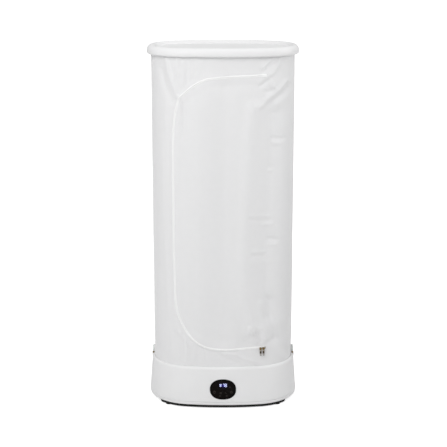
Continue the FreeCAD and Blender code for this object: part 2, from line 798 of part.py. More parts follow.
def heater_fins():
    """Finned packs that pass the bars' heat to the air."""
    half_l = DUCT_LENGTH / 2 - DUCT_WALL - LEDGE_WIDTH
    pitch = element_pitch()
    packs = []
    for row in range(FIN_ROWS):
        y = (row - (FIN_ROWS - 1) / 2) * pitch
        half = (pitch - ELEMENT_THICK) / 2
        pack = box(-half_l, half_l, y - half, y + half, FIN_BASE, FIN_BASE + FIN_HEIGHT)
        slots = []
        count = int(2 * half_l / FIN_PITCH)
        for index in range(count):
            x = -half_l + FIN_PITCH * (index + 0.5)
            width = (FIN_PITCH - FIN_THICK) / 2
            slots.append(box(x - width, x + width, y - half + FIN_THICK, y + half - FIN_THICK,
                             FIN_BASE - 1, FIN_BASE + FIN_HEIGHT + 1))
        packs.append(pack.cut(Part.makeCompound(slots)))
    return Part.makeCompound(packs)


def thermal_cutout():
    """Round cut-out switch on the heater frame's side."""
    x = DUCT_LENGTH / 2
    z = FIN_BASE + FIN_HEIGHT / 2
    body = Part.makeCylinder(CUTOUT_RADIUS, CUTOUT_THICK, V(x, 0, z), V(1, 0, 0))
    for side in (-1, 1):
        y = side * CUTOUT_RADIUS / 2
        body = body.fuse(box(x + CUTOUT_THICK - 1, x + CUTOUT_THICK + TAG_LENGTH,
                             y - TAG_THICK / 2, y + TAG_THICK / 2, z - TAG_WIDTH / 2, z + TAG_WIDTH / 2))
    return body


def grille_screw_places():
    return four(DUCT_LENGTH / 2 + GRILLE_MARGIN / 2, DUCT_DEPTH / 2 + GRILLE_MARGIN / 2)


def outlet_grille():
    """Louvred plate over the deck opening."""
    half_l = DUCT_LENGTH / 2 + GRILLE_MARGIN
    half_d = DUCT_DEPTH / 2 + GRILLE_MARGIN
    low = DECK_TOP + TOUCH_RELIEF
    high = low + GRILLE_THICK
    shape = box(-half_l, half_l, -half_d, half_d, low, high)
    uprights = [edge for edge in shape.Edges if abs(edge.tangentAt(0).z) > 0.9]
    shape = shape.makeFillet(GRILLE_CORNER, uprights)
    cuts = []
    pitch = (DUCT_DEPTH - LOUVRE_EDGE) / LOUVRE_COUNT
    for row in range(LOUVRE_COUNT):
        y = (row - (LOUVRE_COUNT - 1) / 2) * pitch
        for side in (-1, 1):
            near = side * LOUVRE_SPINE / 2
            far = side * (DUCT_LENGTH / 2 - LOUVRE_EDGE)
            cuts.append(box(min(near, far), max(near, far), y - LOUVRE_SLOT / 2, y + LOUVRE_SLOT / 2,
                            low - 1, high + 1))
    for x, y in grille_screw_places():
        cuts.append(rod(x, y, low - 1, high + 1, SMALL_HOLE))
    return shape.cut(Part.makeCompound(cuts))


# ---- control panel ----

def panel_bezel():
    """Black oval ring through the front wall, with a flange behind it and a ledge for the lens."""
    shape = oval_plate(PANEL_WIDTH, PANEL_HEIGHT, -BEZEL_PROUD, BEZEL_DEPTH)
    flange_end = BEZEL_FLANGE_START + BEZEL_FLANGE_THICK
    shape = shape.fuse(oval_plate(PANEL_WIDTH + 2 * BEZEL_FLANGE, PANEL_HEIGHT + 2 * BEZEL_FLANGE,
                                     BEZEL_FLANGE_START, flange_end))
    ring = 2 * BEZEL_RING
    shape = shape.cut(oval_plate(PANEL_WIDTH - ring, PANEL_HEIGHT - ring, -BEZEL_PROUD - 1, lens_back()))
    ring += 2 * WALL
    shape = shape.cut(oval_plate(PANEL_WIDTH - ring, PANEL_HEIGHT - ring, -1, BEZEL_DEPTH + 1))
    shape = shape.fuse(board_posts()).cut(Part.makeCompound(board_bores()))
    return panel_frame(shape)


def lens_back():
    return LENS_SET_BACK + LENS_THICK + TOUCH_RELIEF - BEZEL_PROUD


def panel_lens():
    """Gloss black window that drops into the bezel."""
    ring = 2 * (BEZEL_RING + TOUCH_RELIEF)
    front = LENS_SET_BACK - BEZEL_PROUD
    return panel_frame(oval_plate(PANEL_WIDTH - ring, PANEL_HEIGHT - ring, front, front + LENS_THICK))


def board_face():
    return BEZEL_DEPTH + 2.0


def display_module():
    """Lit icon and digits behind the lens, soldered to the control board."""
    half_w = DISPLAY_WIDTH / 2
    body = box(-half_w, half_w, board_face() - DISPLAY_THICK, board_face() - TOUCH_RELIEF,
               DISPLAY_RISE - DISPLAY_HEIGHT / 2, DISPLAY_RISE + DISPLAY_HEIGHT / 2)
    return panel_frame(body)


def board_screw_places():
    return [(sx * BOARD_HOLE_X, sz * BOARD_HOLE_Z) for sx in (-1, 1) for sz in (-1, 1)]


def control_board():
    half_w = BOARD_HOLE_X + 2 * POST_RADIUS
    half_h = BOARD_HOLE_Z + 2 * POST_RADIUS
    shape = box(-half_w, half_w, board_face(), board_face() + BOARD_THICK, -half_h, half_h)
    back = board_face() + BOARD_THICK
    chip = board_block(-BOARD_PART_X, -BOARD_PART_Z, CHIP_SIZE, CHIP_SIZE, CHIP_THICK)
    plug = board_block(BOARD_PART_X, -BOARD_PART_Z, PLUG_WIDTH, PLUG_HEIGHT, PLUG_THICK)
    sounder = Part.makeCylinder(SOUNDER_RADIUS, SOUNDER_THICK, V(-BOARD_PART_X, back, BOARD_PART_Z), V(0, 1, 0))
    shape = shape.fuse([chip, plug, sounder])
    for x, z in board_screw_places():
        start = V(x, board_face() - BOARD_THICK, z)
        shape = shape.cut(Part.makeCylinder(SMALL_HOLE, 3 * BOARD_THICK, start, V(0, 1, 0)))
    return panel_frame(shape)


def board_block(x, z, width, height, thick):
    """A part soldered on the control board's back, centred at x and z."""
    back = board_face() + BOARD_THICK
    return box(x - width / 2, x + width / 2, back, back + thick, z - height / 2, z + height / 2)


def board_posts():
    """Posts behind the bezel's ring that hold the control board."""
    height = board_face() - TOUCH_RELIEF - BEZEL_FLANGE_START
    return [Part.makeCylinder(POST_RADIUS, height, V(x, BEZEL_FLANGE_START, z), V(0, 1, 0))
            for x, z in board_screw_places()]


def board_bores():
    """Blind screw holes in the posts."""
    start = board_face() - SMALL_SCREW_LENGTH
    return [Part.makeCylinder(SMALL_HOLE, SMALL_SCREW_LENGTH, V(x, start, z), V(0, 1, 0))
            for x, z in board_screw_places()]


# ---- power inlet and board ----

def power_inlet():
    """Three-pin appliance inlet, screwed to the rear wall from inside."""
    rear = rear_y(INLET_X)
    face = rear - INLET_RECESS
    flange_y = pad_back() - TOUCH_RELIEF
    body = box(INLET_X - INLET_WIDTH / 2, INLET_X + INLET_WIDTH / 2, face - INLET_DEPTH, face,
               INLET_Z - INLET_HEIGHT / 2, INLET_Z + INLET_HEIGHT / 2)
    flange = box(INLET_X - INLET_FLANGE / 2, INLET_X + INLET_FLANGE / 2,
                 flange_y - INLET_FLANGE_THICK, flange_y,
                 INLET_Z - INLET_HEIGHT / 2, INLET_Z + INLET_HEIGHT / 2)
    shape = body.fuse(flange)
    socket = box(INLET_X - SOCKET_WIDTH / 2, INLET_X + SOCKET_WIDTH / 2, face - SOCKET_DEPTH, face + 1,
                 INLET_Z - SOCKET_HEIGHT / 2, INLET_Z + SOCKET_HEIGHT / 2)
    shape = shape.cut(socket)
    for x, z in pin_places():
        shape = shape.cut(box(x - PIN_WIDTH / 2, x + PIN_WIDTH / 2,
                              face - INLET_DEPTH - 1, face - SOCKET_DEPTH + 1,
                              z - PIN_HEIGHT / 2, z + PIN_HEIGHT / 2))
    for x in inlet_screw_places():
        start = V(x, flange_y - 2 * INLET_FLANGE_THICK, INLET_Z)
        shape = shape.cut(Part.makeCylinder(SMALL_HOLE, 3 * INLET_FLANGE_THICK, start, V(0, 1, 0)))
    return shape


def pin_places():
    return [(INLET_X - PIN_PITCH, INLET_Z - PIN_RISE), (INLET_X, INLET_Z + PIN_RISE),
            (INLET_X + PIN_PITCH, INLET_Z - PIN_RISE)]


def inlet_pins():
    face = rear_y(INLET_X) - INLET_RECESS
    pins = []
    for x, z in pin_places():
        pins.append(box(x - PIN_WIDTH / 2, x + PIN_WIDTH / 2, face - INLET_DEPTH - PIN_TAIL,
                        face - SOCKET_DEPTH + PIN_LENGTH,
                        z - PIN_HEIGHT / 2, z + PIN_HEIGHT / 2))
    return Part.makeCompound(pins)


def power_board():
    """Supply board on posts over the bottom plate, with its transformer, relay, capacitor and terminals."""
    floor = FOOT_HEIGHT + PLATE_FLOOR
    low = floor + POST_HEIGHT
    top = low + BOARD_THICK
    half_x = POWER_BOARD_HALF_X
    half_y = POWER_BOARD_HALF_Y
    shape = box(POWER_BOARD_X - half_x, POWER_BOARD_X + half_x, POWER_BOARD_Y - half_y, POWER_BOARD_Y + half_y,
                low, top)
    parts = [rod(x, y, floor, low, POST_RADIUS) for x, y in power_post_places()]
    parts.append(supply_block(-1, -1, TRANSFORMER_WIDTH, TRANSFORMER_LENGTH, TRANSFORMER_HEIGHT, top))
    parts.append(supply_block(1, -1, RELAY_WIDTH, RELAY_LENGTH, RELAY_HEIGHT, top))
    parts.append(supply_block(1, 1, TERMINAL_WIDTH, TERMINAL_LENGTH, TERMINAL_HEIGHT, top))
    parts.append(rod(POWER_BOARD_X - SUPPLY_PART_X, POWER_BOARD_Y + SUPPLY_PART_Y, top, top + CAPACITOR_HEIGHT,
                     CAPACITOR_RADIUS))
    return shape.fuse(parts).removeSplitter()


def supply_block(side_x, side_y, width, length, height, low):
    """A part in one quarter of the supply board."""
    x = POWER_BOARD_X + side_x * SUPPLY_PART_X
    y = POWER_BOARD_Y + side_y * SUPPLY_PART_Y
    return box(x - width / 2, x + width / 2, y - length / 2, y + length / 2, low, low + height)


def power_post_places():
    reach_x = POWER_BOARD_HALF_X - POST_EDGE
    reach_y = POWER_BOARD_HALF_Y - POST_EDGE
    return [(POWER_BOARD_X + dx, POWER_BOARD_Y + dy) for dx, dy in four(reach_x, reach_y)]


# ---- screws of one small size ----

def small_screw(x, y, z, direction):
    """A screw whose head sits at the point and whose stem runs along direction."""
    place = V(x, y, z)
    crown = place - direction * SMALL_SCREW_HEAD_HEIGHT
    head = Part.makeCylinder(SMALL_SCREW_HEAD, SMALL_SCREW_HEAD_HEIGHT, crown, direction)
    stem = Part.makeCylinder(SMALL_SCREW_RADIUS, SMALL_SCREW_LENGTH, place, direction)
    recess = Part.makeCylinder(SMALL_SCREW_RADIUS * 0.75, SMALL_SCREW_HEAD_HEIGHT / 2, crown, direction)
    return head.fuse(stem).cut(recess)


def small_screws():
    screws = []
    down = V(0, 0, -1)
    for x, y in grille_screw_places():
        screws.append(small_screw(x, y, DECK_TOP + 2 * TOUCH_RELIEF + GRILLE_THICK, down))
    for x, y in socket_screw_places():
        screws.append(small_screw(x, y, DECK_TOP + 2 * TOUCH_RELIEF + SOCKET_FLOOR, down))
    for x, y in bracket_screw_places():
        screws.append(small_screw(x, y, motor_top() + 2 * TOUCH_RELIEF + WALL, down))
    for x in inlet_screw_places():
        head_y = pad_back() - INLET_FLANGE_THICK - 2 * TOUCH_RELIEF
        screws.append(small_screw(x, head_y, INLET_Z, V(0, 1, 0)))
    for x, z in board_screw_places():
        head_y = board_face() + BOARD_THICK + TOUCH_RELIEF
        screws.append(panel_frame(small_screw(x, head_y, z, V(0, -1, 0))))
    return Part.makeCompound(screws)


# ---- pole frame ----

def socket_screw_places():
    reach = (POLE_RADIUS + SOCKET_CUP_WALL + SOCKET_FLANGE) / 2
    return [(x + side * reach, y) for x, y in pole_places() for side in (-1, 1)]


def pole_sockets():
    sockets = []
    low = DECK_TOP + TOUCH_RELIEF
    for x, y in pole_places():
        flange = rod(x, y, low, low + SOCKET_FLOOR, SOCKET_FLANGE)
        cup = rod(x, y, low, low + SOCKET_CUP_HEIGHT, POLE_RADIUS + SOCKET_CUP_WALL)
        bore = rod(x, y, low + SOCKET_FLOOR, low + SOCKET_CUP_HEIGHT + 1, POLE_RADIUS + POLE_CLEARANCE)
        shape = flange.fuse(cup).cut(bore)
        for screw_x, screw_y in socket_screw_places():
            if math.hypot(screw_x - x, screw_y - y) < SOCKET_FLANGE:
                shape = shape.cut(rod(screw_x, screw_y, low - 1, low + SOCKET_FLOOR + 1, SMALL_HOLE))
        sockets.append(shape)
    return Part.makeCompound(sockets)


def pole_foot():
    return DECK_TOP + SOCKET_FLOOR + 3 * TOUCH_RELIEF


def ring_top():
    return OVERALL_HEIGHT - BEAD_UPPER - BEAD_LOWER - GAP


def ring_base():
    return ring_top() - RING_HEIGHT


def pole_head():
    return ring_base() + POLE_ENTRY


def lower_pole(x, y):
    return pipe(x, y, pole_foot(), POLE_JOINT_Z - TOUCH_RELIEF, POLE_RADIUS, POLE_RADIUS - SHEET_WALL)


def upper_pole(x, y):
    return pipe(x, y, POLE_JOINT_Z + TOUCH_RELIEF, pole_head(), POLE_RADIUS, POLE_RADIUS - SHEET_WALL)


def pole_couplers():
    half = COUPLER_LENGTH / 2
    inner = POLE_RADIUS + POLE_CLEARANCE
    couplers = [pipe(x, y, POLE_JOINT_Z - half, POLE_JOINT_Z + half, inner + COUPLER_WALL, inner)
                for x, y in pole_places()]
    return Part.makeCompound(couplers)


def cover_inset(z):
    """Inset of the cover's outer face, which leans in slightly towards the lid."""
    share = (z - COVER_BASE) / (cover_top() - COVER_BASE)
    return COVER_INSET_LOW + (COVER_INSET_HIGH - COVER_INSET_LOW) * share


def cover_top():
    return ring_top() + COVER_TUCK


def ring_outer_inset():
    return COVER_INSET_HIGH + COVER_THICK + GAP


def rail_z():
    return ring_top() - RAIL_DROP


def rail_half_length():
    return HALF_DEPTH - ring_outer_inset() - RING_WIDTH - GAP


def top_ring():
    """Oval ring with a boss over each pole and a cup at each end of the hanging rail."""
    low = ring_base()
    high = ring_top()
    outer = prism(ring_outer_inset(), low, high)
    shape = outer.cut(prism(ring_outer_inset() + RING_WIDTH, low - 1, high + 1))
    for x, y in pole_places():
        shape = shape.fuse(rod(x, y, low, high, POLE_RADIUS + RING_BOSS_WALL))
        web_x = x + math.copysign(RING_WEB, x)
        web_y = y + math.copysign(RING_WEB, y)
        web = box(min(x, web_x), max(x, web_x), min(y, web_y), max(y, web_y), low, high - RING_WEB_DROP)
        shape = shape.fuse(web.common(outer))
    cup_radius = RAIL_RADIUS + RAIL_CUP_WALL
    cups = Part.makeCylinder(cup_radius, 2 * HALF_DEPTH, V(0, -HALF_DEPTH, rail_z()), V(0, 1, 0))
    cup_start = rail_half_length() - RAIL_CUP_DEPTH
    cups = cups.cut(box(-2 * cup_radius, 2 * cup_radius, -cup_start, cup_start, low, high))
    shape = shape.fuse(cups.common(outer))
    for x, y in pole_places():
        shape = shape.cut(rod(x, y, low - 1, high + 1, POLE_RADIUS + POLE_CLEARANCE))
    length = 2 * rail_half_length() + 2 * TOUCH_RELIEF
    bore = Part.makeCylinder(RAIL_RADIUS + POLE_CLEARANCE, length, V(0, -length / 2, rail_z()), V(0, 1, 0))
    return shape.cut(bore).removeSplitter()


def hanging_rail():
    half = rail_half_length()
    outer = Part.makeCylinder(RAIL_RADIUS, 2 * half, V(0, -half, rail_z()), V(0, 1, 0))
    inner = Part.makeCylinder(RAIL_RADIUS - SHEET_WALL, 2 * half + 2, V(0, -half - 1, rail_z()), V(0, 1, 0))
    return outer.cut(inner)


# ---- lid ----

def bead_profile(shrink):
    """Pairs from the tucked lip, round the outside, to the crest. shrink is a wall thickness."""
    low = OVERALL_HEIGHT - BEAD_UPPER - BEAD_LOWER + shrink
    wide = OVERALL_HEIGHT - BEAD_UPPER
    crest = OVERALL_HEIGHT - shrink
    widest = BEAD_INSET + shrink
    profile = []
    for inset, z in quarter(widest, wide, BEAD_INSET + BEAD_LIP, low, 4, True):
        profile.insert(0, (inset, z))
    profile += quarter(widest, wide, BEAD_INSET + BEAD_WIDTH, crest, 6, True)[1:]
    return profile


def lid():
    crest_inset = BEAD_INSET + BEAD_WIDTH
    low = OVERALL_HEIGHT - BEAD_UPPER - BEAD_LOWER
    shape = stack(bead_profile(0.0))
    floor = OVERALL_HEIGHT - DISH_DEPTH
    dish = []
    for inset, z in quarter(crest_inset, OVERALL_HEIGHT, crest_inset + DISH_SLOPE, floor, 4, False):
        dish.insert(0, (inset, z))
    dish.append((crest_inset, OVERALL_HEIGHT + 1))
    shape = shape.cut(stack(dish))
    bead_hollow = stack(bead_profile(WALL)).cut(prism(RIB_INSET, low - 1, OVERALL_HEIGHT + 1))
    wide = OVERALL_HEIGHT - BEAD_UPPER
    slot = prism(BEAD_INSET + BEAD_LIP + GAP, low - 1, wide).cut(prism(RIB_INSET, low - 2, OVERALL_HEIGHT))
    below_dish = prism(crest_inset + DISH_SLOPE, low - 1, floor - WALL)
    inner = prism(RIB_INSET + WALL, low - 1, floor - WALL)
    shape = shape.cut(bead_hollow).cut(slot).cut(inner.fuse(below_dish))
    for x, y in pole_places():
        bottom = floor - WALL - SPIGOT_LENGTH
        shape = shape.fuse(rod(x, y, bottom, floor - 1, POLE_RADIUS - TOUCH_RELIEF))
    return shape.removeSplitter()


# ---- cover ----

def fold_share(z):
    """How far the hinge fold stands out at a height: none at the ends of the zip, most half way."""
    span = DOOR_TOP_AT_HINGE - DOOR_BOTTOM_AT_HINGE
    share = (z - DOOR_BOTTOM_AT_HINGE) / span
    if share <= 0 or share >= 1:
        return 0.0
    return math.sin(math.pi * share)


def cover_levels():
    span = DOOR_TOP_AT_HINGE - DOOR_BOTTOM_AT_HINGE
    inner = [DOOR_BOTTOM_AT_HINGE + span * step / FOLD_LEVELS for step in range(FOLD_LEVELS + 1)]
    return [COVER_BASE] + inner + [cover_top()]


def cover_block(grow):
    """The cloth's outer face as a solid; grow moves it outwards."""
    wires = [oval_wire(cover_inset(z) - grow, z, fold_share(z)) for z in cover_levels()]
    return Part.makeLoft(wires, True, True)


def cover_shell(proud):
    return cover_block(proud).cut(cover_block(-COVER_THICK))


def door_top(x):
    return DOOR_TOP_AT_HINGE - (HINGE_X - x) * DOOR_TOP_RISE


def door_bottom(x):
    return DOOR_BOTTOM_AT_HINGE - (HINGE_X - x) * DOOR_BOTTOM_RISE


def door_prism(grow, right):
    """A block through the front of the cover in the door's outline, moved outwards by grow."""
    left = -DOOR_LEFT - grow
    top_angle = math.atan(DOOR_TOP_RISE)
    bottom_angle = math.atan(DOOR_BOTTOM_RISE)
    top_centre = V(-DOOR_LEFT + DOOR_TOP_CORNER, 0, 0)
    top_centre.z = door_top(top_centre.x) - DOOR_TOP_CORNER / math.cos(top_angle)
    bottom_centre = V(-DOOR_LEFT + DOOR_BOTTOM_CORNER, 0, 0)
    bottom_centre.z = door_bottom(bottom_centre.x) + DOOR_BOTTOM_CORNER / math.cos(bottom_angle)
    top_radius = DOOR_TOP_CORNER + grow
    bottom_radius = DOOR_BOTTOM_CORNER + grow

    def around(centre, radius, angle):
        return V(centre.x + radius * math.cos(angle), 0, centre.z + radius * math.sin(angle))

    top_start = around(top_centre, top_radius, math.pi / 2 + top_angle)
    top_middle = around(top_centre, top_radius, (1.5 * math.pi + top_angle) / 2)
    top_end = V(left, 0, top_centre.z)
    bottom_start = V(left, 0, bottom_centre.z)
    bottom_tangent = 1.5 * math.pi + bottom_angle
    bottom_middle = around(bottom_centre, bottom_radius, (math.pi + bottom_tangent) / 2)
    bottom_end = around(bottom_centre, bottom_radius, bottom_tangent)
    top_right = V(right, 0, door_top(right) + grow / math.cos(top_angle))
    bottom_right = V(right, 0, door_bottom(right) - grow / math.cos(bottom_angle))
    edges = [
        Part.makeLine(top_right, top_start),
        arc(top_start, top_middle, top_end),
        Part.makeLine(top_end, bottom_start),
        arc(bottom_start, bottom_middle, bottom_end),
        Part.makeLine(bottom_end, bottom_right),
        Part.makeLine(bottom_right, top_right),
    ]
    face = Part.Face(Part.Wire(edges))
    face.translate(V(0, -HALF_DEPTH, 0))
    return face.extrude(V(0, HALF_DEPTH - SEAM_Y, 0))


def slab(x_low, x_high, y_low, y_high):
    return box(x_low, x_high, y_low, y_high, 0, OVERALL_HEIGHT)


def cover_front(shell):
    part = shell.common(slab(-HALF_WIDTH, HALF_WIDTH, -HALF_DEPTH, -SEAM_Y))
    return part.cut(door_prism(ZIP_HALF, HINGE_X + HINGE_GAP / 2))


def cover_back(shell):
    return shell.common(slab(-HALF_WIDTH, HALF_WIDTH, SEAM_Y, HALF_DEPTH))


def cover_side(shell, side):
    edge = side * HALF_WIDTH
    return shell.common(slab(min(0, edge), max(0, edge), -SEAM_Y, SEAM_Y))


def door_flap(shell):
    return shell.common(door_prism(-ZIP_HALF, HINGE_X - HINGE_GAP / 2))


def door_zip(band):
    right = HINGE_X - HINGE_GAP / 2
    return band.common(door_prism(-ZIP_GAP / 2, right).cut(door_prism(-ZIP_HALF, right + 1)))


def cover_zip(band):
    right = HINGE_X + HINGE_GAP / 2
    return band.common(door_prism(ZIP_HALF, right).cut(door_prism(ZIP_GAP / 2, right + 1)))


def hem_elastic():
    """Elastic in the cover's lower hem, just inside the rim."""
    high = COVER_BASE - TOUCH_RELIEF
    outer = prism(COVER_INSET_LOW, high - HEM_HEIGHT, high)
    return outer.cut(prism(COVER_INSET_LOW + HEM_WIDTH, high - HEM_HEIGHT - 1, high + 1))


# ---- zip sliders and pulls, each made about its own origin and then placed on the cover ----

def slide_frame():
    """Turn and middle of the sliders' straight travel along the lower zip."""
    middle_x = SLIDER_X[0] - SLIDER_TRAVEL / 2
    ahead = front_y(middle_x + 1, COVER_INSET_LOW) - front_y(middle_x - 1, COVER_INSET_LOW)
    turn = math.degrees(math.atan2(ahead, 2))
    return turn, middle_x


def on_zip(shape, x):
    """Places a slider piece: its origin goes to the zip line at x, its -Y faces out of the cloth."""
    turn, middle_x = slide_frame()
    tilt = math.radians(turn)
    along = (x - middle_x) / math.cos(tilt)
    stand = ZIP_PROUD + SLIDER_CLEAR
    base_y = front_y(middle_x, COVER_INSET_LOW)
    shape = shape.copy()
    shape.rotate(V(0, 0, 0), V(0, 0, 1), turn)
    shape.translate(V(middle_x + along * math.cos(tilt) + stand * math.sin(tilt),
                      base_y + along * math.sin(tilt) - stand * math.cos(tilt), door_bottom(x) - ZIP_GAP))
    return shape


def bridge_y():
    return -SLIDER_THICK - BRIDGE_STAND


def zip_slider(x):
    """Slider body below the zip line, with a bridge that the pull hangs from."""
    half = SLIDER_WIDTH / 2
    plate = box(-half, half, -SLIDER_THICK, 0, -SLIDER_HEIGHT, 0)
    corners = [edge for edge in plate.Edges if abs(edge.tangentAt(0).y) > 0.9]
    shape = plate.makeFillet(SLIDER_ROUND, corners)
    for low in (-half, half - CHEEK_THICK):
        shape = shape.fuse(box(low, low + CHEEK_THICK, bridge_y() - BRIDGE_RADIUS, -SLIDER_THICK + 1,
                               -BRIDGE_DROP - CHEEK_HALF, -BRIDGE_DROP + CHEEK_HALF))
    bar = Part.makeCylinder(BRIDGE_RADIUS, SLIDER_WIDTH, V(-half, bridge_y(), -BRIDGE_DROP), V(1, 0, 0))
    return on_zip(shape.fuse(bar).removeSplitter(), x)


def zip_pull(x):
    """Metal link that hangs from the bridge bar."""
    half = PULL_WIDTH / 2
    thick = PULL_THICK / 2
    eye = BRIDGE_RADIUS + SHAFT_CLEARANCE
    centre = V(-half, bridge_y(), -BRIDGE_DROP)
    end = -BRIDGE_DROP - PULL_LINK
    shape = Part.makeCylinder(eye + EYE_WALL, PULL_WIDTH, centre, V(1, 0, 0))
    shape = shape.fuse(box(-half, half, bridge_y() - thick, bridge_y() + thick, end, -BRIDGE_DROP))
    shape = shape.cut(Part.makeCylinder(eye, PULL_WIDTH, centre, V(1, 0, 0)))
    window = half - EYE_WALL
    shape = shape.cut(box(-window, window, bridge_y() - 2 * thick, bridge_y() + 2 * thick,
                          end + GRIP_OVERLAP + EYE_WALL, -BRIDGE_DROP - 3 * EYE_WALL))
    return on_zip(shape.removeSplitter(), x)


def pull_grip(x):
    """Moulded grip on the link's lower end."""
    top = -BRIDGE_DROP - PULL_LINK + GRIP_OVERLAP
    half = GRIP_WIDTH / 2
    thick = GRIP_THICK / 2
    shape = box(-half, half, bridge_y() - thick, bridge_y() + thick, top - GRIP_LENGTH, top)
    corners = [edge for edge in shape.Edges if abs(edge.tangentAt(0).y) > 0.9]
    shape = shape.makeFillet(GRIP_ROUND, corners)
    link_half = PULL_WIDTH / 2
    link_thick = PULL_THICK / 2
    shape = shape.cut(box(-link_half, link_half, bridge_y() - link_thick, bridge_y() + link_thick,
                          top - GRIP_OVERLAP, top + 1))
    return on_zip(shape, x)


def zip_stops():
    """Metal stops at the hinge end of the zip, upper and lower."""
    stops = []
    x = HINGE_X + STOP_OFFSET
    for z in (door_top(HINGE_X) - STOP_LENGTH / 2, door_bottom(HINGE_X) - STOP_LENGTH):
        y = front_y(x, cover_inset(z)) - STOP_THICK - GAP
        stops.append(box(x, x + STOP_WIDTH, y, y + STOP_THICK, z, z + STOP_LENGTH))
    return Part.makeCompound(stops)


# ---- side latches ----

def latch_x(side):
    return side * (HALF_WIDTH - LATCH_PIN_INSET)


def pin_bore(side):
    """The hole along Y that the pin runs in."""
    reach = LATCH_HALF_WIDTH + 1
    radius = LATCH_PIN_RADIUS + LATCH_CLEARANCE
    return Part.makeCylinder(radius, 2 * reach, V(latch_x(side), -reach, RIM_TOP), V(0, 1, 0))


def latch_lug(side):
    """Block in the rim's notch, with two ears that hold the pin."""
    face = HALF_WIDTH - wall_inset(LATCH_FLOOR) + LATCH_LUG_PROUD
    lug = latch_pocket(side, 0.0).common(box(-face, face, -HALF_DEPTH, HALF_DEPTH, 0, LATCH_LUG_TOP))
    lug = lug.cut(prism(RIM_INNER_INSET, LATCH_FLOOR - 1, RIM_TOP))
    x = latch_x(side)
    ears = []
    for end in (-1, 1):
        y_low = min(end * LATCH_EAR_OUTER, end * (LATCH_EAR_OUTER - LATCH_EAR))
        inner_x = side * (HALF_WIDTH - RIM_INNER_INSET)
        outer_x = x + side * LATCH_EAR_RADIUS
        ear = box(min(inner_x, outer_x), max(inner_x, outer_x), y_low, y_low + LATCH_EAR,
                  LATCH_LUG_TOP - 1, RIM_TOP)
        cap = Part.makeCylinder(LATCH_EAR_RADIUS, LATCH_EAR, V(x, y_low, RIM_TOP), V(0, 1, 0))
        ears += [ear, cap.cut(prism(RIM_INNER_INSET, RIM_TOP - 10, RIM_TOP + 10))]
    return lug.fuse(ears).cut(pin_bore(side)).removeSplitter()


def latch_pin(side):
    """Headed pin along Y through the ears."""
    x = latch_x(side)
    half = LATCH_EAR_OUTER + TOUCH_RELIEF
    pin = Part.makeCylinder(LATCH_PIN_RADIUS, 2 * half, V(x, -half, RIM_TOP), V(0, 1, 0))
    heads = []
    for start in (-half - LATCH_PIN_HEAD_THICK, half):
        place = V(x, start, RIM_TOP)
        heads.append(Part.makeCylinder(LATCH_PIN_HEAD, LATCH_PIN_HEAD_THICK, place, V(0, 1, 0)))
    return pin.fuse(heads)


def latch_lever(side):
    """Clear lever between the ears that stands against the cover."""
    x = latch_x(side)
    half = LATCH_EAR_OUTER - LATCH_EAR - GAP
    barrel = LATCH_PIN_RADIUS + LATCH_BARREL_WALL
    shape = Part.makeCylinder(barrel, 2 * half, V(x, -half, RIM_TOP), V(0, 1, 0))
    outer = x + side * LATCH_BARREL_WALL
    inner = side * (HALF_WIDTH - COVER_INSET_LOW + GAP)
    arm = box(min(inner, outer), max(inner, outer), -half, half, RIM_TOP, LATCH_TOP)
    along = [edge for edge in arm.Edges if abs(edge.tangentAt(0).y) > 0.9]
    tops = [edge for edge in along if edge.CenterOfMass.z > LATCH_TOP - 1]
    arm = arm.makeFillet(LATCH_TOP_ROUND, tops)
    return shape.fuse(arm).cut(pin_bore(side)).removeSplitter()


def main():
    os.makedirs("parts", exist_ok=True)
    save("base_housing", base_housing())
    save("bottom_trim", bottom_trim())
    save("bottom_plate", bottom_plate())
    save("rubber_feet", rubber_feet())
    save("housing_screws", housing_screws())
    save("intake_filter", intake_filter())
    save("fan_shroud", fan_shroud())
    save("motor_bracket", motor_bracket())
    save("fan_motor", fan_motor())
    save("motor_shaft", motor_shaft())
    save("fan_impeller", fan_impeller())
    save("impeller_nut", impeller_nut())
    save("heater_frame", heater_frame())
    save("heater_elements", heater_elements())
    save("heater_fins", heater_fins())
    save("thermal_cutout", thermal_cutout())
    save("outlet_grille", outlet_grille())
    save("small_screws", small_screws())
    save("panel_bezel", panel_bezel())
    save("panel_lens", panel_lens())
    save("display_module", display_module())
    save("control_board", control_board())
    save("power_inlet", power_inlet())
    save("inlet_pins", inlet_pins())
    save("power_board", power_board())
    save("pole_sockets", pole_sockets())
    names = ["front_left", "front_right", "back_left", "back_right"]
    for name, (x, y) in zip(names, pole_places()):
        save("lower_pole_" + name, lower_pole(x, y))
        save("upper_pole_" + name, upper_pole(x, y))
    save("pole_couplers", pole_couplers())
    save("top_ring", top_ring())
    save("hanging_rail", hanging_rail())
    save("lid", lid())
    shell = cover_shell(0.0)
    band = cover_shell(ZIP_PROUD)
    save("cover_front", cover_front(shell))
    save("cover_back", cover_back(shell))
    save("cover_left", cover_side(shell, -1))
    save("cover_right", cover_side(shell, 1))
    save("door_flap", door_flap(shell))
    save("door_zip", door_zip(band))
    save("cover_zip", cover_zip(band))
    save("hem_elastic", hem_elastic())
    save("zip_stops", zip_stops())
    for side, x in zip(("left", "right"), SLIDER_X):
        save("zip_slider_" + side, zip_slider(x))
        save("zip_pull_" + side, zip_pull(x))
        save("pull_grip_" + side, pull_grip(x))
    for name, side in (("left", -1), ("right", 1)):
        save("latch_lever_" + name, latch_lever(side))
    save("latch_lugs", Part.makeCompound([latch_lug(side) for side in (-1, 1)]))
    save("latch_pins", Part.makeCompound([latch_pin(side) for side in (-1, 1)]))


main()
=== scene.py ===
"""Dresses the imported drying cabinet: cloth cover, door, zip, lid, panel, finishes and a plain stage."""
import json
import math

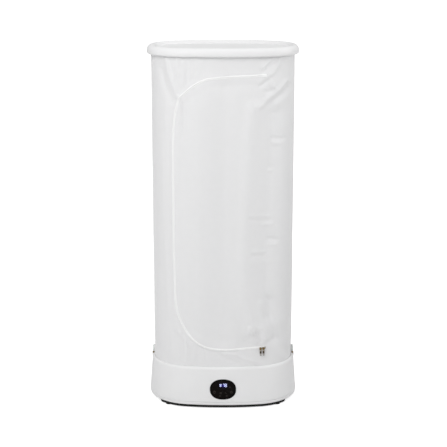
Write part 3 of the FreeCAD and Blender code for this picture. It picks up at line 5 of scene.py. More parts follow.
import bmesh
import bpy
import numpy as np
from bpy.props import FloatProperty, FloatVectorProperty, PointerProperty
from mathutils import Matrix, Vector


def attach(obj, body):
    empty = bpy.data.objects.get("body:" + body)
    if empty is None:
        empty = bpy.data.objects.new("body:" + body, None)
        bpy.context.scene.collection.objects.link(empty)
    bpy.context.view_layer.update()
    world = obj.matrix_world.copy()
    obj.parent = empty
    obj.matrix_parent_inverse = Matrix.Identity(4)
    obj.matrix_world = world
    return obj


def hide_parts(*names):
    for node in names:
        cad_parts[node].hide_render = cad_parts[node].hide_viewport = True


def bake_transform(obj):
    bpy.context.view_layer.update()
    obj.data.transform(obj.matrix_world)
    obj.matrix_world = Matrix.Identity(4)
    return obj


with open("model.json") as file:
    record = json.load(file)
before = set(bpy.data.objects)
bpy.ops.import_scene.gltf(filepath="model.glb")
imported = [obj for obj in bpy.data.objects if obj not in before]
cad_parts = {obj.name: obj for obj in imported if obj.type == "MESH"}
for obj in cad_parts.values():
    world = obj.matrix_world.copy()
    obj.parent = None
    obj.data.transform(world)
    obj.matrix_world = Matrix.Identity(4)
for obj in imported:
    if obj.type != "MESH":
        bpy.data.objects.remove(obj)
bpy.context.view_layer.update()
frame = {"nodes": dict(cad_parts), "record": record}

bl_info = {
    "name": "Drying cabinet",
    "version": (1, 0, 0),
    "blender": (4, 5, 0),
    "location": "View3D > Sidebar > Cabinet",
    "description": "Builds the cabinet's cloth, zip, lid, panel and finishes over its packed model",
    "category": "Object",
}

NODES = frame["nodes"]
SLOT_OF = {part["node"]: part["material_slot"] for part in frame["record"]["subparts"]}
MM = 0.001
WHITE = (1.0, 1.0, 1.0, 1.0)

# The plan outline in millimetres, an oval of tangent arcs, as the solids have it.
HALF_WIDTH = 302.5
HALF_DEPTH = 212.0
FRONT_ARC = 985.0
SIDE_ARC = 443.0
CORNER_ARC = 179.0
CORNER = (122.42, 23.6)
REFERENCE_INSET = 20.0

# The cover from the base's rim up to the lid, how far it stands inside the outline, and the door's hinge.
COVER_BASE = 158.3
COVER_TOP = 1411.4
COVER_INSET_LOW = 19.5
COVER_INSET_HIGH = 20.8
CLOTH_THICKNESS = 0.7
HINGE_X = 166.0
HINGE_TOP = 1340.0
HINGE_BOTTOM = 253.0
DOOR_GAP = 0.25

# Half width of the finely divided front, and the cloth's spacing of vertices there, round the back and up.
FINE_REACH = 240.0
FINE_PITCH = 4.2
COARSE_PITCH = 9.0
ROW_PITCH = 5.0

# The zip's centre line from the top of the hinge, round the left, to its bottom.
ZIP_LINE = [
    (166, 1340), (110, 1338.5), (65, 1337), (19, 1334), (-30, 1330), (-62, 1325.5), (-84, 1317), (-106, 1305),
    (-125, 1292), (-148, 1272), (-163, 1257.5), (-169, 1246), (-174, 1234), (-180, 1207), (-186, 1172),
    (-190, 1129), (-192, 1080), (-192.5, 1011), (-193, 930), (-193, 853), (-193, 692), (-192, 620),
    (-190.5, 569), (-189, 487), (-186.5, 434), (-179, 393), (-163, 353), (-140, 312), (-112, 281), (-80, 260),
    (-52, 250.5), (-20, 246), (20, 245.3), (60, 247), (100, 249.4), (134, 251.5), (166, 253),
]

# Creases in the cloth: height and half width in millimetres, then the points that each runs through.
CREASES = [
    (5.4, 8, (-219, 1406), (-209, 1358), (-197, 1318), (-184, 1286), (-173, 1258)),
    (-1.5, 6, (-206, 1406), (-190, 1349), (-177, 1314), (-168, 1275)),
    (-4.2, 11, (-242, 1390), (-228, 1321), (-214, 1281), (-196, 1243)),
    (2.4, 9, (-176, 1406), (-174, 1383), (-173, 1340)),
    (1.6, 8, (-148, 1406), (-149, 1350), (-151, 1310)),
    (-1.6, 5, (-139, 1353), (-137, 1310)),
    (1.6, 8, (-122, 1406), (-121, 1350), (-124, 1322)),
    (1.6, 9, (-92, 1406), (-91, 1352), (-98, 1336)),
    (2.2, 6, (-167, 1262), (-165, 1225), (-166, 1160)),
    (-1.8, 6, (-152, 1235), (-150, 1190), (-156, 1100)),
    (1.8, 12, (-222, 1232), (-224, 1190), (-220, 1120)),
    (3.0, 7, (152, 1366), (164, 1382), (180, 1396), (190, 1406)),
    (-3.6, 8, (157, 1354), (171, 1371), (189, 1387)),
    (3.8, 8, (150, 1335), (168, 1336), (188, 1346), (203, 1362), (213, 1382), (216, 1400)),
    (2.6, 7, (137, 1313), (158, 1325)),
    (-4.0, 7, (144, 1300), (168, 1317)),
    (4.6, 8, (184, 1314), (193, 1294)),
    (-3.0, 7, (162, 1277), (188, 1280)),
    (4.2, 11, (142, 1222), (164, 1243), (191, 1265), (218, 1284), (246, 1312)),
    (-3.6, 13, (176, 1226), (204, 1250), (232, 1270), (252, 1292)),
    (1.6, 13, (212, 1228), (240, 1246), (256, 1262)),
    (-5.4, 40, (4, 1290), (0, 300)),
    (4.6, 38, (-92, 1280), (-90, 300)),
    (9.4, 30, (118, 1215), (112, 1160), (103, 1063), (95, 916), (88, 717), (85, 513), (96, 441), (120, 330)),
    (-9.0, 30, (190, 1190), (188, 1063), (182, 916), (172, 717), (168, 513), (180, 380)),
    (3.6, 28, (238, 1150), (240, 860), (238, 586), (236, 429), (228, 352)),
    (-2.6, 6, (193, 1097), (236, 1092)),
    (2.0, 6, (199, 1076), (224, 1073)),
    (-1.4, 5, (199, 1060), (214, 1058)),
    (-2.0, 6, (177, 984), (192, 984)),
    (1.5, 5, (180, 968), (192, 967)),
    (1.3, 8, (100, 797), (150, 792), (186, 788)),
    (-1.2, 8, (105, 779), (150, 773), (184, 770)),
    (1.8, 7, (160, 755), (199, 756)),
    (-2.6, 6, (182, 697), (215, 692)),
    (2.2, 6, (185, 670), (208, 671)),
    (1.3, 8, (110, 648), (165, 645)),
    (-1.3, 8, (114, 632), (161, 629)),
    (1.3, 10, (116, 606), (186, 598)),
    (3.6, 8, (108, 336), (136, 274)),
    (-2.6, 7, (126, 330), (150, 276)),
    (3.0, 9, (152, 330), (172, 282)),
    (3.6, 16, (150, 430), (160, 350), (170, 290)),
    (-6.5, 22, (190, 440), (200, 360), (212, 280)),
    (2.0, 24, (240, 360), (256, 250)),
    (-4.0, 16, (212, 280), (238, 236), (262, 200)),
    (2.0, 12, (184, 250), (212, 220), (240, 196)),
    (3.4, 7, (4, 228), (48, 224), (93, 199), (150, 182)),
    (-1.8, 6, (-12, 222), (18, 205), (60, 190)),
    (-1.8, 7, (56, 216), (100, 194), (140, 172)),
    (2.2, 8, (-190, 330), (-160, 290), (-130, 262)),
    (2.4, 7, (-146, 306), (-144, 190)),
    (-1.8, 7, (-158, 306), (-157, 200)),
    (1.6, 7, (-114, 262), (-112, 186)),
    (1.6, 9, (-72, 240), (-70, 190)),
    (1.4, 9, (-206, 300), (-204, 190)),
    (-2.0, 13, (-243, 560), (-240, 520)),
    (1.8, 10, (-222, 480), (-218, 390)),
    (1.4, 9, (-228, 700), (-226, 590)),
    (1.4, 16, (-236, 1120), (-234, 760)),
]


# ---- settings

class CabinetSizes(bpy.types.PropertyGroup):
    fold_depth: FloatProperty(name="Fold depth", description="How deep the cloth's creases are, as a share",
                              default=1.0, min=0.0, max=2.0, subtype="FACTOR")
    weave_pitch: FloatProperty(name="Weave pitch", description="Distance from thread to thread",
                               default=0.0012, unit="LENGTH")
    tooth_pitch: FloatProperty(name="Zip tooth pitch", description="Distance from tooth to tooth",
                               default=0.0024, unit="LENGTH")
    tape_width: FloatProperty(name="Zip tape width", description="Width of each half of the zip",
                              default=0.0044, unit="LENGTH")
    dish_depth: FloatProperty(name="Lid dish depth", description="Depth of the lid's dish below its rim",
                              default=0.013, unit="LENGTH")


class CabinetColours(bpy.types.PropertyGroup):
    shell: FloatVectorProperty(name="Shell", description="Moulded base and lid", subtype="COLOR",
                               default=(0.82, 0.82, 0.823), min=0, max=1)
    cloth: FloatVectorProperty(name="Cloth", description="Cover and door", subtype="COLOR",
                               default=(0.80, 0.80, 0.805), min=0, max=1)
    zip_tape: FloatVectorProperty(name="Zip", description="Zip tape and teeth", subtype="COLOR",
                                  default=(0.92, 0.92, 0.92), min=0, max=1)
    metal: FloatVectorProperty(name="Zip metal", description="Sliders and pulls", subtype="COLOR",
                               default=(0.24, 0.17, 0.075), min=0, max=1)
    digits: FloatVectorProperty(name="Digits", description="Lit figures on the panel", subtype="COLOR",
                                default=(0.60, 0.65, 1.0), min=0, max=1)


class StageSettings(bpy.types.PropertyGroup):
    key_power: FloatProperty(name="Key lamp", description="Power of the high lamp at the front left",
                             default=36.0, unit="POWER")
    low_power: FloatProperty(name="Low lamp", description="Power of the low lamp at the front left",
                             default=20.0, unit="POWER")
    side_power: FloatProperty(name="Side lamp", description="Power of the lamp at the right", default=7.0,
                              unit="POWER")
    sky: FloatProperty(name="Sky", description="Brightness of the surroundings", default=0.14, min=0.0)
    overhead: FloatProperty(name="Overhead", description="Brightness straight above", default=1.0, min=0.0)


# ---- shaders

class Socket:
    """A shader output that takes part in Python arithmetic."""

    def __init__(self, shader, socket):
        self.shader = shader
        self.socket = socket

    def math(self, operation, *values):
        return self.shader.math(operation, self, *values)

    def __add__(self, other):
        return self.math("ADD", other)

    def __sub__(self, other):
        return self.math("SUBTRACT", other)

    def __rsub__(self, other):
        return self.shader.math("SUBTRACT", other, self)

    def __mul__(self, other):
        return self.math("MULTIPLY", other)

    def __truediv__(self, other):
        return self.math("DIVIDE", other)

    def __rtruediv__(self, other):
        return self.shader.math("DIVIDE", other, self)

    def __pow__(self, other):
        return self.math("POWER", other)

    __radd__ = __add__
    __rmul__ = __mul__

    def sine(self):
        return self.math("SINE")

    def clamp(self):
        return self.shader.node("ShaderNodeClamp", {}, {0: self})


class Shader:
    """One material's nodes."""

    def __init__(self, name, tree=None):
        if tree is None:
            self.material = bpy.data.materials.new(name)
            self.material.use_nodes = True
            tree = self.material.node_tree
        self.tree = tree
        tree.nodes.clear()

    def node(self, kind, settings, sockets, output=0):
        """Adds a node: its settings first, then a value or a link for each socket."""
        node = self.tree.nodes.new(kind)
        for key, value in settings.items():
            setattr(node, key, value)
        for key, value in sockets.items():
            if isinstance(value, Socket):
                self.tree.links.new(value.socket, node.inputs[key])
            else:
                node.inputs[key].default_value = value
        return Socket(self, node.outputs[output]) if node.outputs else node

    def math(self, operation, *values):
        return self.node("ShaderNodeMath", {"operation": operation}, dict(enumerate(values)))

    def noise(self, scale, detail=2.0, place=None):
        place = place or self.place()
        return self.node("ShaderNodeTexNoise", {}, {"Vector": place, "Scale": scale, "Detail": detail})

    def place(self):
        """The point's own place on its piece, in metres."""
        return self.node("ShaderNodeTexCoord", {}, {}, "Object")

    def axis(self, name, source=None):
        return self.node("ShaderNodeSeparateXYZ", {}, {0: source or self.place()}, name)

    def blend(self, share, first, second):
        """A colour between two."""
        return self.node("ShaderNodeMix", {"data_type": "RGBA"}, {0: share, 6: first, 7: second}, 2)

    def finish(self, base, roughness, bump=(), **others):
        """Closes the material with one Principled shader; bump is its height, strength and distance."""
        sockets = {"Base Color": base, "Roughness": roughness}
        sockets.update({name.replace("_", " "): value for name, value in others.items()})
        if bump:
            bump = dict(zip(("Height", "Strength", "Distance"), bump))
            sockets["Normal"] = self.node("ShaderNodeBump", {}, bump)
        surface = self.node("ShaderNodeBsdfPrincipled", {}, sockets)
        self.node("ShaderNodeOutputMaterial", {}, {"Surface": surface})
        return self.material


def opaque(colour, share=1.0):
    """The colour, darkened or lightened, with full alpha."""
    return tuple(part * share for part in colour) + (1.0,)


def moulded(name, colour, roughness, grain, relief, metallic=0.0, specular=0.5):
    """Plastic, rubber or metal: mottled colour, uneven gloss and a fine grain."""
    shader = Shader(name)
    cloud = shader.noise(9.0, 4.0)
    speck = shader.noise(grain, 2.0)
    base = shader.blend(cloud, opaque(colour, 0.965), opaque(colour, 1.03))
    gloss = roughness * 0.85 + cloud * (roughness * 0.2) + speck * (roughness * 0.1)
    return shader.finish(base, gloss, (speck, 0.35, relief), Metallic=metallic, Specular_IOR_Level=specular)


def woven(name, colour, pitch):
    """Plain weave in the mesh's own millimetre coordinates, with faint slubs."""
    shader = Shader(name)
    uv = shader.node("ShaderNodeUVMap", {"uv_map": "cloth"}, {})
    turn = 2 * math.pi / pitch
    warp = (shader.axis("X", uv) * turn).sine()
    weft = (shader.axis("Y", uv) * turn).sine()
    threads = warp * weft * 0.5 + 0.5
    slub = shader.noise(42.0, 3.0)
    cloud = shader.noise(3.2, 2.0)
    share = (threads * 0.35 + slub * 0.4 + cloud * 0.25).clamp()
    base = shader.blend(share, opaque(colour, 0.955), opaque(colour, 1.03))
    height = threads * 0.7 + slub * 0.3
    return shader.finish(base, 0.62 + (slub - 0.5) * 0.12, (height, 0.5, 0.00012), Sheen_Weight=0.5,
                         Sheen_Roughness=0.4, Specular_IOR_Level=0.35)


def ribbed(name, colour, pitch):
    """Knitted elastic or tape with fine ribs."""
    shader = Shader(name)
    rib = (shader.axis("Z") * (2 * math.pi / pitch)).sine() * 0.5 + 0.5
    fuzz = shader.noise(700.0, 3.0)
    base = shader.blend((rib * 0.5 + fuzz * 0.5).clamp(), opaque(colour, 0.96), opaque(colour, 1.02))
    return shader.finish(base, fuzz * 0.2 + 0.5, (rib * 0.7 + fuzz * 0.3, 0.3, 0.0002))


def clear(name, colour):
    """Clear moulding with a slightly clouded surface."""
    shader = Shader(name)
    cloud = shader.noise(120.0, 2.0)
    base = shader.blend(cloud, opaque(colour, 0.96), opaque(colour))
    return shader.finish(base, cloud * 0.12 + 0.12, Transmission_Weight=0.12, IOR=1.46)


def two_tone(name, low, high, height):
    """Moulding whose upper part is darker, parted at a height."""
    shader = Shader(name)
    speck = shader.noise(1300.0, 2.0)
    share = ((shader.axis("Z") - height) * 900.0 + speck * 0.2).clamp()
    base = shader.blend(share, opaque(low), opaque(high))
    return shader.finish(base, speck * 0.1 + 0.42, (speck, 0.35, 0.00005))


def foam(name, colour):
    """Open foam or mesh pad."""
    shader = Shader(name)
    cell = shader.node("ShaderNodeTexVoronoi", {}, {"Vector": shader.place(), "Scale": 620.0})
    base = shader.blend(cell.clamp(), opaque(colour, 0.6), opaque(colour, 1.1))
    return shader.finish(base, cell * 0.1 + 0.8, (cell, 0.8, 0.0006))


def circuit(name, colour):
    """Solder mask with faint tracks."""
    shader = Shader(name)
    sockets = {"Vector": shader.place(), "Scale": 130.0, "Mortar Size": 0.03, "Color1": opaque((0, 0, 0)),
               "Color2": opaque((0.2, 0.2, 0.2)), "Mortar": WHITE}
    track = shader.node("ShaderNodeTexBrick", {}, sockets)
    base = shader.blend(track, opaque(colour), opaque(colour, 1.9))
    return shader.finish(base, track * 0.2 + 0.35, (track, 0.3, 0.0001))


def window(name, colour, glow, middle, reach):
    """Dark window with a dim glow that fades with distance from the middle of the lit figures."""
    shader = Shader(name)
    across = (shader.axis("X") - middle[0]) / reach[0]
    up = (shader.axis("Z") - middle[1]) / reach[1]
    near = 1.0 / (1.0 + (across * across + up * up) * 3.0) ** 3.0
    cloud = shader.noise(30.0, 2.0)
    base = shader.blend(cloud, opaque(colour, 0.9), opaque(colour, 1.1))
    halo = shader.blend(near, opaque((0, 0, 0)), opaque(glow))
    return shader.finish(base, cloud * 0.04 + 0.1, Specular_IOR_Level=0.05, Emission_Color=halo,
                         Emission_Strength=1.0)


def lit(name, colour):
    """Lit figure, a little uneven."""
    shader = Shader(name)
    cloud = shader.noise(300.0, 1.0)
    glow = shader.blend(cloud, opaque(colour, 0.92), opaque(colour))
    return shader.finish(glow, 0.4, Emission_Color=glow, Emission_Strength=1.0)


MATERIALS = {}


def make_materials(sizes, colours):
    """A material for each slot, and two more for the panel's window and its marks."""
    table = {
        "white_shell": (moulded, colours.shell, 0.42, 1400.0, 0.00003, 0.0, 0.22),
        "black_plastic": (moulded, (0.006, 0.006, 0.006), 0.5, 1500.0, 0.00008, 0.0, 0.2),
        "rubber": (moulded, (0.008, 0.008, 0.008), 0.8, 800.0, 0.0001, 0.0, 0.2),
        "screw_steel": (moulded, (0.55, 0.55, 0.56), 0.35, 2400.0, 0.00003, 1.0),
        "motor_metal": (moulded, (0.5, 0.5, 0.51), 0.4, 1800.0, 0.00004, 1.0),
        "filter_foam": (foam, (0.2, 0.2, 0.21)),
        "ceramic_bar": (moulded, (0.68, 0.64, 0.58), 0.7, 900.0, 0.0001),
        "fin_aluminium": (moulded, (0.72, 0.72, 0.73), 0.32, 2000.0, 0.00003, 1.0),
        "panel_black": (moulded, (0.003, 0.0026, 0.0024), 0.14, 500.0, 0.000004, 0.0, 0.06),
        "window_black": (window, (0.0045, 0.0032, 0.0026), (0.030, 0.022, 0.26), (0.002, 0.0985),
                         (0.019, 0.012)),
        "mark_grey": (moulded, (0.055, 0.048, 0.044), 0.5, 900.0, 0.00001, 0.0, 0.1),
        "display_light": (lit, colours.digits),
        "board_green": (circuit, (0.03, 0.16, 0.07)),
        "pin_brass": (moulded, (0.72, 0.58, 0.3), 0.3, 1800.0, 0.00002, 1.0),
        "pole_steel": (moulded, (0.8, 0.8, 0.81), 0.38, 1600.0, 0.00004),
        "cover_cloth": (woven, colours.cloth, sizes.weave_pitch),
        "zip_white": (ribbed, colours.zip_tape, 0.0014),
        "elastic_white": (ribbed, (0.8, 0.8, 0.8), 0.001),
        "zip_metal": (moulded, colours.metal, 0.42, 1500.0, 0.00004, 0.9),
        "grip_grey": (two_tone, (0.41, 0.385, 0.37), (0.045, 0.028, 0.012), 0.228),
        "latch_brass": (moulded, (0.26, 0.19, 0.09), 0.4, 1500.0, 0.00004, 0.8),
        "clear_plastic": (clear, (0.88, 0.91, 0.89)),
    }
    for name, (make, *values) in table.items():
        MATERIALS[name] = make(name, *values)


# ---- the outline and the cloth's form

def _quarter_arcs():
    """Angles, lengths and radii of the front, corner and side arcs in a quarter of the outline."""
    front = math.atan2(CORNER[0], CORNER[1] - (HALF_DEPTH - FRONT_ARC))
    side = math.atan2(CORNER[1], CORNER[0] - (HALF_WIDTH - SIDE_ARC))
    corner = math.pi / 2 - front - side
    angles = (front, corner, side)
    radii = [radius - REFERENCE_INSET for radius in (FRONT_ARC, CORNER_ARC, SIDE_ARC)]
    return angles, [angle * radius for angle, radius in zip(angles, radii)], radii


ANGLES, LENGTHS, RADII = _quarter_arcs()
QUARTER = sum(LENGTHS)


def plan(distance, inset):
    """Points and outward normals at distances along the outline from the front's middle towards +X."""
    distance = np.mod(np.asarray(distance, float), 4 * QUARTER)
    quadrant = np.minimum(np.floor(distance / QUARTER), 3).astype(int)
    along = distance - quadrant * QUARTER
    along = np.where(quadrant % 2 == 1, QUARTER - along, along)
    first, second = LENGTHS[0], LENGTHS[0] + LENGTHS[1]
    in_front = along <= first
    in_side = along > second
    angle = np.where(in_front, along / RADII[0], np.where(
        in_side, ANGLES[0] + ANGLES[1] + (along - second) / RADII[2], ANGLES[0] + (along - first) / RADII[1]))
    centre_x = np.where(in_front, 0.0, np.where(in_side, HALF_WIDTH - SIDE_ARC, CORNER[0]))
    centre_y = np.where(in_front, HALF_DEPTH - FRONT_ARC, np.where(in_side, 0.0, CORNER[1]))
    radius = np.where(in_front, FRONT_ARC, np.where(in_side, SIDE_ARC, CORNER_ARC)) - inset
    sign_x = np.where(quadrant <= 1, 1.0, -1.0)
    sign_y = np.where((quadrant == 0) | (quadrant == 3), -1.0, 1.0)
    normal_x = np.sin(angle)
    normal_y = np.cos(angle)
    x = (centre_x + radius * normal_x) * sign_x
    y = (centre_y + radius * normal_y) * sign_y
    return x, y, normal_x * sign_x, normal_y * sign_y


def front_distance(x):
    """Distance along the front, negative to the left, of the point with this x."""
    x = np.asarray(x, float)
    reach = np.abs(x)
    edge = RADII[0] * math.sin(ANGLES[0])
    near = RADII[0] * np.arcsin(np.minimum(reach, edge) / RADII[0])
    past = np.clip((reach - CORNER[0]) / RADII[1], -1, 1)
    far = LENGTHS[0] + RADII[1] * (np.arcsin(past) - ANGLES[0])
    return np.sign(x) * np.where(reach <= edge, near, far)


def inside(points, outline):
    """Whether each point lies in a closed outline."""
    x, z = points[:, 0], points[:, 1]
    found = np.zeros(len(points), bool)
    ax, az = outline[:, 0], outline[:, 1]
    bx, bz = np.roll(ax, -1), np.roll(az, -1)
    for i in range(len(outline)):
        crosses = (az[i] > z) != (bz[i] > z)
        where = ax[i] + (z - az[i]) / (bz[i] - az[i] + 1e-12) * (bx[i] - ax[i])
        found ^= crosses & (x < where)
    return found


def nearest_on(points, line):
    """The nearest place on a line to each point, and its distance."""
    line = np.asarray(line, float)
    best = np.full(len(points), 1e9)
    place = points.copy()
    for a, b in zip(line[:-1], line[1:]):
        d = b - a
        share = np.clip(((points - a) @ d) / max(d @ d, 1e-12), 0, 1)
        candidate = a + share[:, None] * d
        reach = np.linalg.norm(points - candidate, axis=1)
        closer = reach < best
        best = np.where(closer, reach, best)
        place[closer] = candidate[closer]
    return place, best


def step_up(value, low, high):
    """A smooth rise from 0 at low to 1 at high."""
    share = np.clip((value - low) / (high - low), 0, 1)
    return share * share * (3 - 2 * share)


def stand_out(distance, z):
    """How far the cloth stands out from its plain oval, in millimetres."""
    x, y, _, _ = plan(distance, REFERENCE_INSET)
    flat = np.stack([x, z], -1)
    turn = np.mod(distance, 4 * QUARTER) / (4 * QUARTER) * 2 * math.pi
    depth = bpy.context.scene.cabinet_sizes.fold_depth

    # Slow waves all round, then the seam, then finer upright waves away from the front.
    total = 0.35 * np.sin(turn * 7 + 0.4 + z / 420) + 0.3 * np.sin(turn * 11 + 2.1 - z / 310)
    total += 0.25 * np.sin(z / 61 + 3 * np.sin(turn * 2)) * np.cos(turn * 3 + 1)
    total += seam_form(flat, y)
    away = 1 - step_up(-y, -40, 60)
    total += away * (1.3 * np.sin(turn * 16 + np.sin(z / 240)) + 0.8 * np.sin(turn * 27 + 1.3 + z / 520))

    front = step_up(-y, -20, 30)
    for height, width, *points in CREASES:
        reach = nearest_on(flat, points)[1]
        near = reach < 4 * width
        total = total + np.where(near, front * depth * height * np.exp(-(reach / width) ** 2), 0.0)

    # The ring stops the cloth from sinking near the top. It lies flat under the lid and at the base's rim,
    # where the elastic holds it a little out, and behind the latches.
    below_ring = 1 - step_up(z, 1330, 1372)
    below_lid, above_rim = 1 - step_up(z, 1401, 1409), step_up(z, 176, 204)
    top_edge, elastic = step_up(z, 1403, 1410), 1 - step_up(z, 170, 176)
    total = np.where(z > 1330, np.maximum(total, -1.6 - 12 * below_ring), total)
    total = np.where(total > 0, total * below_lid * above_rim, total)
    total = total * (1 - top_edge) + 0.7 * elastic
    latch = step_up(np.abs(x), 258, 274) * (1 - step_up(z, 206, 240))
    return np.where(total > 0, total * (1 - latch), total)


def seam_form(flat, y):
    """The door stands a little proud of the cover, by a soft step along the zip and a fullness inside it.

    The step fades towards the hinge, and sooner on the lower run, where the sliders travel.
    """
    x, z = flat.T
    line = smooth_line(ZIP_LINE, 14.0)
    reach = nearest_on(flat, line)[1]
    depth = np.where(inside(flat, line) & (y < 0), reach, -reach)
    upper, lower = step_up(z, 1240, 1325), 1 - step_up(z, 262, 330)
    fade = step_up(-y, -20, 30) * (1 - step_up(x + 74 * lower, 110, 160))
    ramp = 9 + 17 * upper - 4.5 * lower
    rise = (2.3 + 1.0 * lower) * step_up(depth, -2.5 - ramp, -2.5)
    dip = 1.1 * np.exp(-((depth - 30) / 14) ** 2) * (1 - lower)
    return fade * (rise - dip + 1.8 * step_up(depth, 30, 80))


def cloth_place(distance, z, lift=0.0):
    """Points in metres on the cloth's outer face, lift millimetres above it."""
    share = (z - COVER_BASE) / (COVER_TOP - COVER_BASE)
    inset = COVER_INSET_LOW + (COVER_INSET_HIGH - COVER_INSET_LOW) * share
    x, y, normal_x, normal_y = plan(distance, inset)
    out = stand_out(distance, z) + lift
    return np.stack([x + normal_x * out, y + normal_y * out, z], -1) * MM


# ---- making pieces

def add_piece(name, verts, faces, slot, body="root", instead=(), uv=None, sharp=40.0, material=None):
    """A mesh piece with its material, riding on a body."""
    mesh = bpy.data.meshes.new(name)
    mesh.from_pydata([tuple(v) for v in verts], [], [tuple(int(i) for i in f) for f in faces])
    mesh.validate()
    work = bmesh.new()
    work.from_mesh(mesh)
    loose = [vert for vert in work.verts if not vert.link_faces]
    bmesh.ops.delete(work, geom=loose, context="VERTS")
    bmesh.ops.recalc_face_normals(work, faces=work.faces)
    work.to_mesh(mesh)
    work.free()
    mesh.shade_smooth()
    mesh.set_sharp_from_angle(angle=math.radians(sharp))
    if uv is not None:
        layer = mesh.uv_layers.new(name="cloth")
        if len(uv) != len(mesh.vertices):
            raise ValueError(name + " lost vertices that its weave needs")
        for loop in mesh.loops:
            layer.data[loop.index].uv = uv[loop.vertex_index]
    piece = bpy.data.objects.new(name, mesh)
    bpy.context.scene.collection.objects.link(piece)
    mesh.materials.append(MATERIALS[material or slot])
    if body:
        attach(piece, body)
    if instead:
        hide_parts(*instead)
    return piece


def strip_faces(rows, columns, close_rows=False, close_columns=False):
    """Quads of a grid whose vertices run along each row first."""
    faces = []
    for row in range(rows if close_rows else rows - 1):
        for column in range(columns if close_columns else columns - 1):
            next_row = (row + 1) % rows
            next_column = (column + 1) % columns
            faces.append((row * columns + column, row * columns + next_column,
                          next_row * columns + next_column, next_row * columns + column))
    return faces


def tube_faces(rails, count):
    """Faces of a closed tube between rails of vertices, with its two ends."""
    ends = [[rail * count + end for rail in range(rails)] for end in (0, count - 1)]
    return strip_faces(rails, count, close_rows=True) + ends


def ring_verts(profile, count):
    """Vertices of a profile of (inset, z) millimetre pairs swept round the outline."""
    distances = np.linspace(0, 4 * QUARTER, count, endpoint=False)
    rows = []
    for inset, z in profile:
        x, y, _, _ = plan(distances, inset)
        rows.append(np.stack([x, y, np.full(count, z)], -1) * MM)
    return np.concatenate(rows)


def even_points(line, step):
    """Points at equal steps along a line."""
    run = np.concatenate([[0], np.cumsum(np.hypot(*np.diff(line, axis=0).T))])
    even = np.linspace(0, run[-1], int(run[-1] / step))
    return np.stack([np.interp(even, run, line[:, 0]), np.interp(even, run, line[:, 1])], -1)


def smooth_line(points, step, parts=24):
    """Evenly spaced points on a smooth curve through the given ones."""
    points = np.asarray(points, float)
    ends = [2 * points[0] - points[1], 2 * points[-1] - points[-2]]
    padded = np.concatenate([[ends[0]], points, [ends[1]]])
    dense = []
    for index in range(1, len(padded) - 2):
        a, b, c, d = padded[index - 1:index + 3]
        for share in np.linspace(0, 1, parts, endpoint=False):
            dense.append(0.5 * ((2 * b) + (c - a) * share + (2 * a - 5 * b + 4 * c - d) * share ** 2
                                + (3 * b - a - 3 * c + d) * share ** 3))
    return even_points(np.array(dense + [points[-1]]), step)


def zip_route(step):
    """The zip's line as distance along the cloth and height."""
    line = smooth_line(ZIP_LINE, 4.0)
    return even_points(np.stack([front_distance(line[:, 0]), line[:, 1]], -1), step)


def route_sides(route):
    """Unit vectors across the route, pointing into the door."""
    ahead = np.gradient(route, axis=0)
    ahead /= np.linalg.norm(ahead, axis=1)[:, None]
    return np.stack([-ahead[:, 1], ahead[:, 0]], -1)


# ---- cloth

def cloth_lines(low, high, step, stops=()):
    """Grid positions from low to high through the stops."""
    marks = sorted({low, high} | {stop for stop in stops if low < stop < high})
    lines = [marks[0]]
    for start, end in zip(marks[:-1], marks[1:]):
        count = max(1, round((end - start) / step))
        lines += list(np.linspace(start, end, count + 1)[1:])
    return np.array(lines)


def cut_grid(columns, rows, outline, keep_inside, wrap):
    """A grid whose faces stop at an outline: its vertices near the line are moved on to it."""
    margin, snap, rounds = 12, 0.9, 40
    grid = np.stack(np.meshgrid(columns, rows), -1).reshape(-1, 2)
    near = ((grid > outline.min(0) - margin) & (grid < outline.max(0) + margin)).all(1)
    sign = np.full(len(grid), 1)
    sign[near] = np.where(inside(grid[near], outline), -1, 1)
    closed = np.concatenate([outline, outline[:1]])
    place = grid.copy()
    reach = np.full(len(grid), 1e9)
    place[near], reach[near] = nearest_on(grid[near], closed)
    snapped = reach < snap
    faces = np.array(strip_faces(len(rows), len(columns), False, wrap))
    edges = np.concatenate([faces[:, [0, 1]], faces[:, [1, 2]], faces[:, [2, 3]], faces[:, [3, 0]]])
    # Of each edge that still crosses the line, the nearer end moves on to it.
    for _ in range(rounds):
        state = np.where(snapped, 0, sign)
        broken = edges[state[edges[:, 0]] * state[edges[:, 1]] < 0]
        if not len(broken):
            break
        closer = np.where(reach[broken[:, 0]] < reach[broken[:, 1]], broken[:, 0], broken[:, 1])
        snapped[closer] = True
    grid[snapped] = place[snapped]
    # Whole faces on the wanted side stay, and of a face that the line cuts corner to corner, its half does.
    state = np.where(snapped, 0, sign)
    wanted = -1 if keep_inside else 1
    kept = []
    for face in faces:
        marks = state[face]
        if (marks * wanted >= 0).all():
            if marks.any() or inside(grid[face].mean(0)[None], outline)[0] == keep_inside:
                kept.append(tuple(face))
        elif (marks * wanted > 0).any():
            for corner in range(4):
                trio = [face[corner], face[(corner + 1) % 4], face[(corner + 2) % 4]]
                ends = state[trio[0]], state[trio[2]]
                if ends == (0, 0) and state[trio[1]] == wanted:
                    kept.append(tuple(trio))
    return grid, kept


def add_cloth(name, grid, faces, body, instead):
    """A sheet of the cover's cloth from a cut grid."""
    used = sorted({index for face in faces for index in face})
    number = {old: new for new, old in enumerate(used)}
    flat = grid[used]
    faces = [tuple(number[index] for index in face) for face in faces]
    verts = cloth_place(flat[:, 0], flat[:, 1])
    piece = add_piece(name, verts, faces, "cover_cloth", body, instead, uv=flat * MM, sharp=70.0)
    thickness = piece.modifiers.new("thickness", "SOLIDIFY")
    thickness.thickness = CLOTH_THICKNESS * MM
    thickness.offset = -1.0
    apply_modifiers(piece)
    return piece


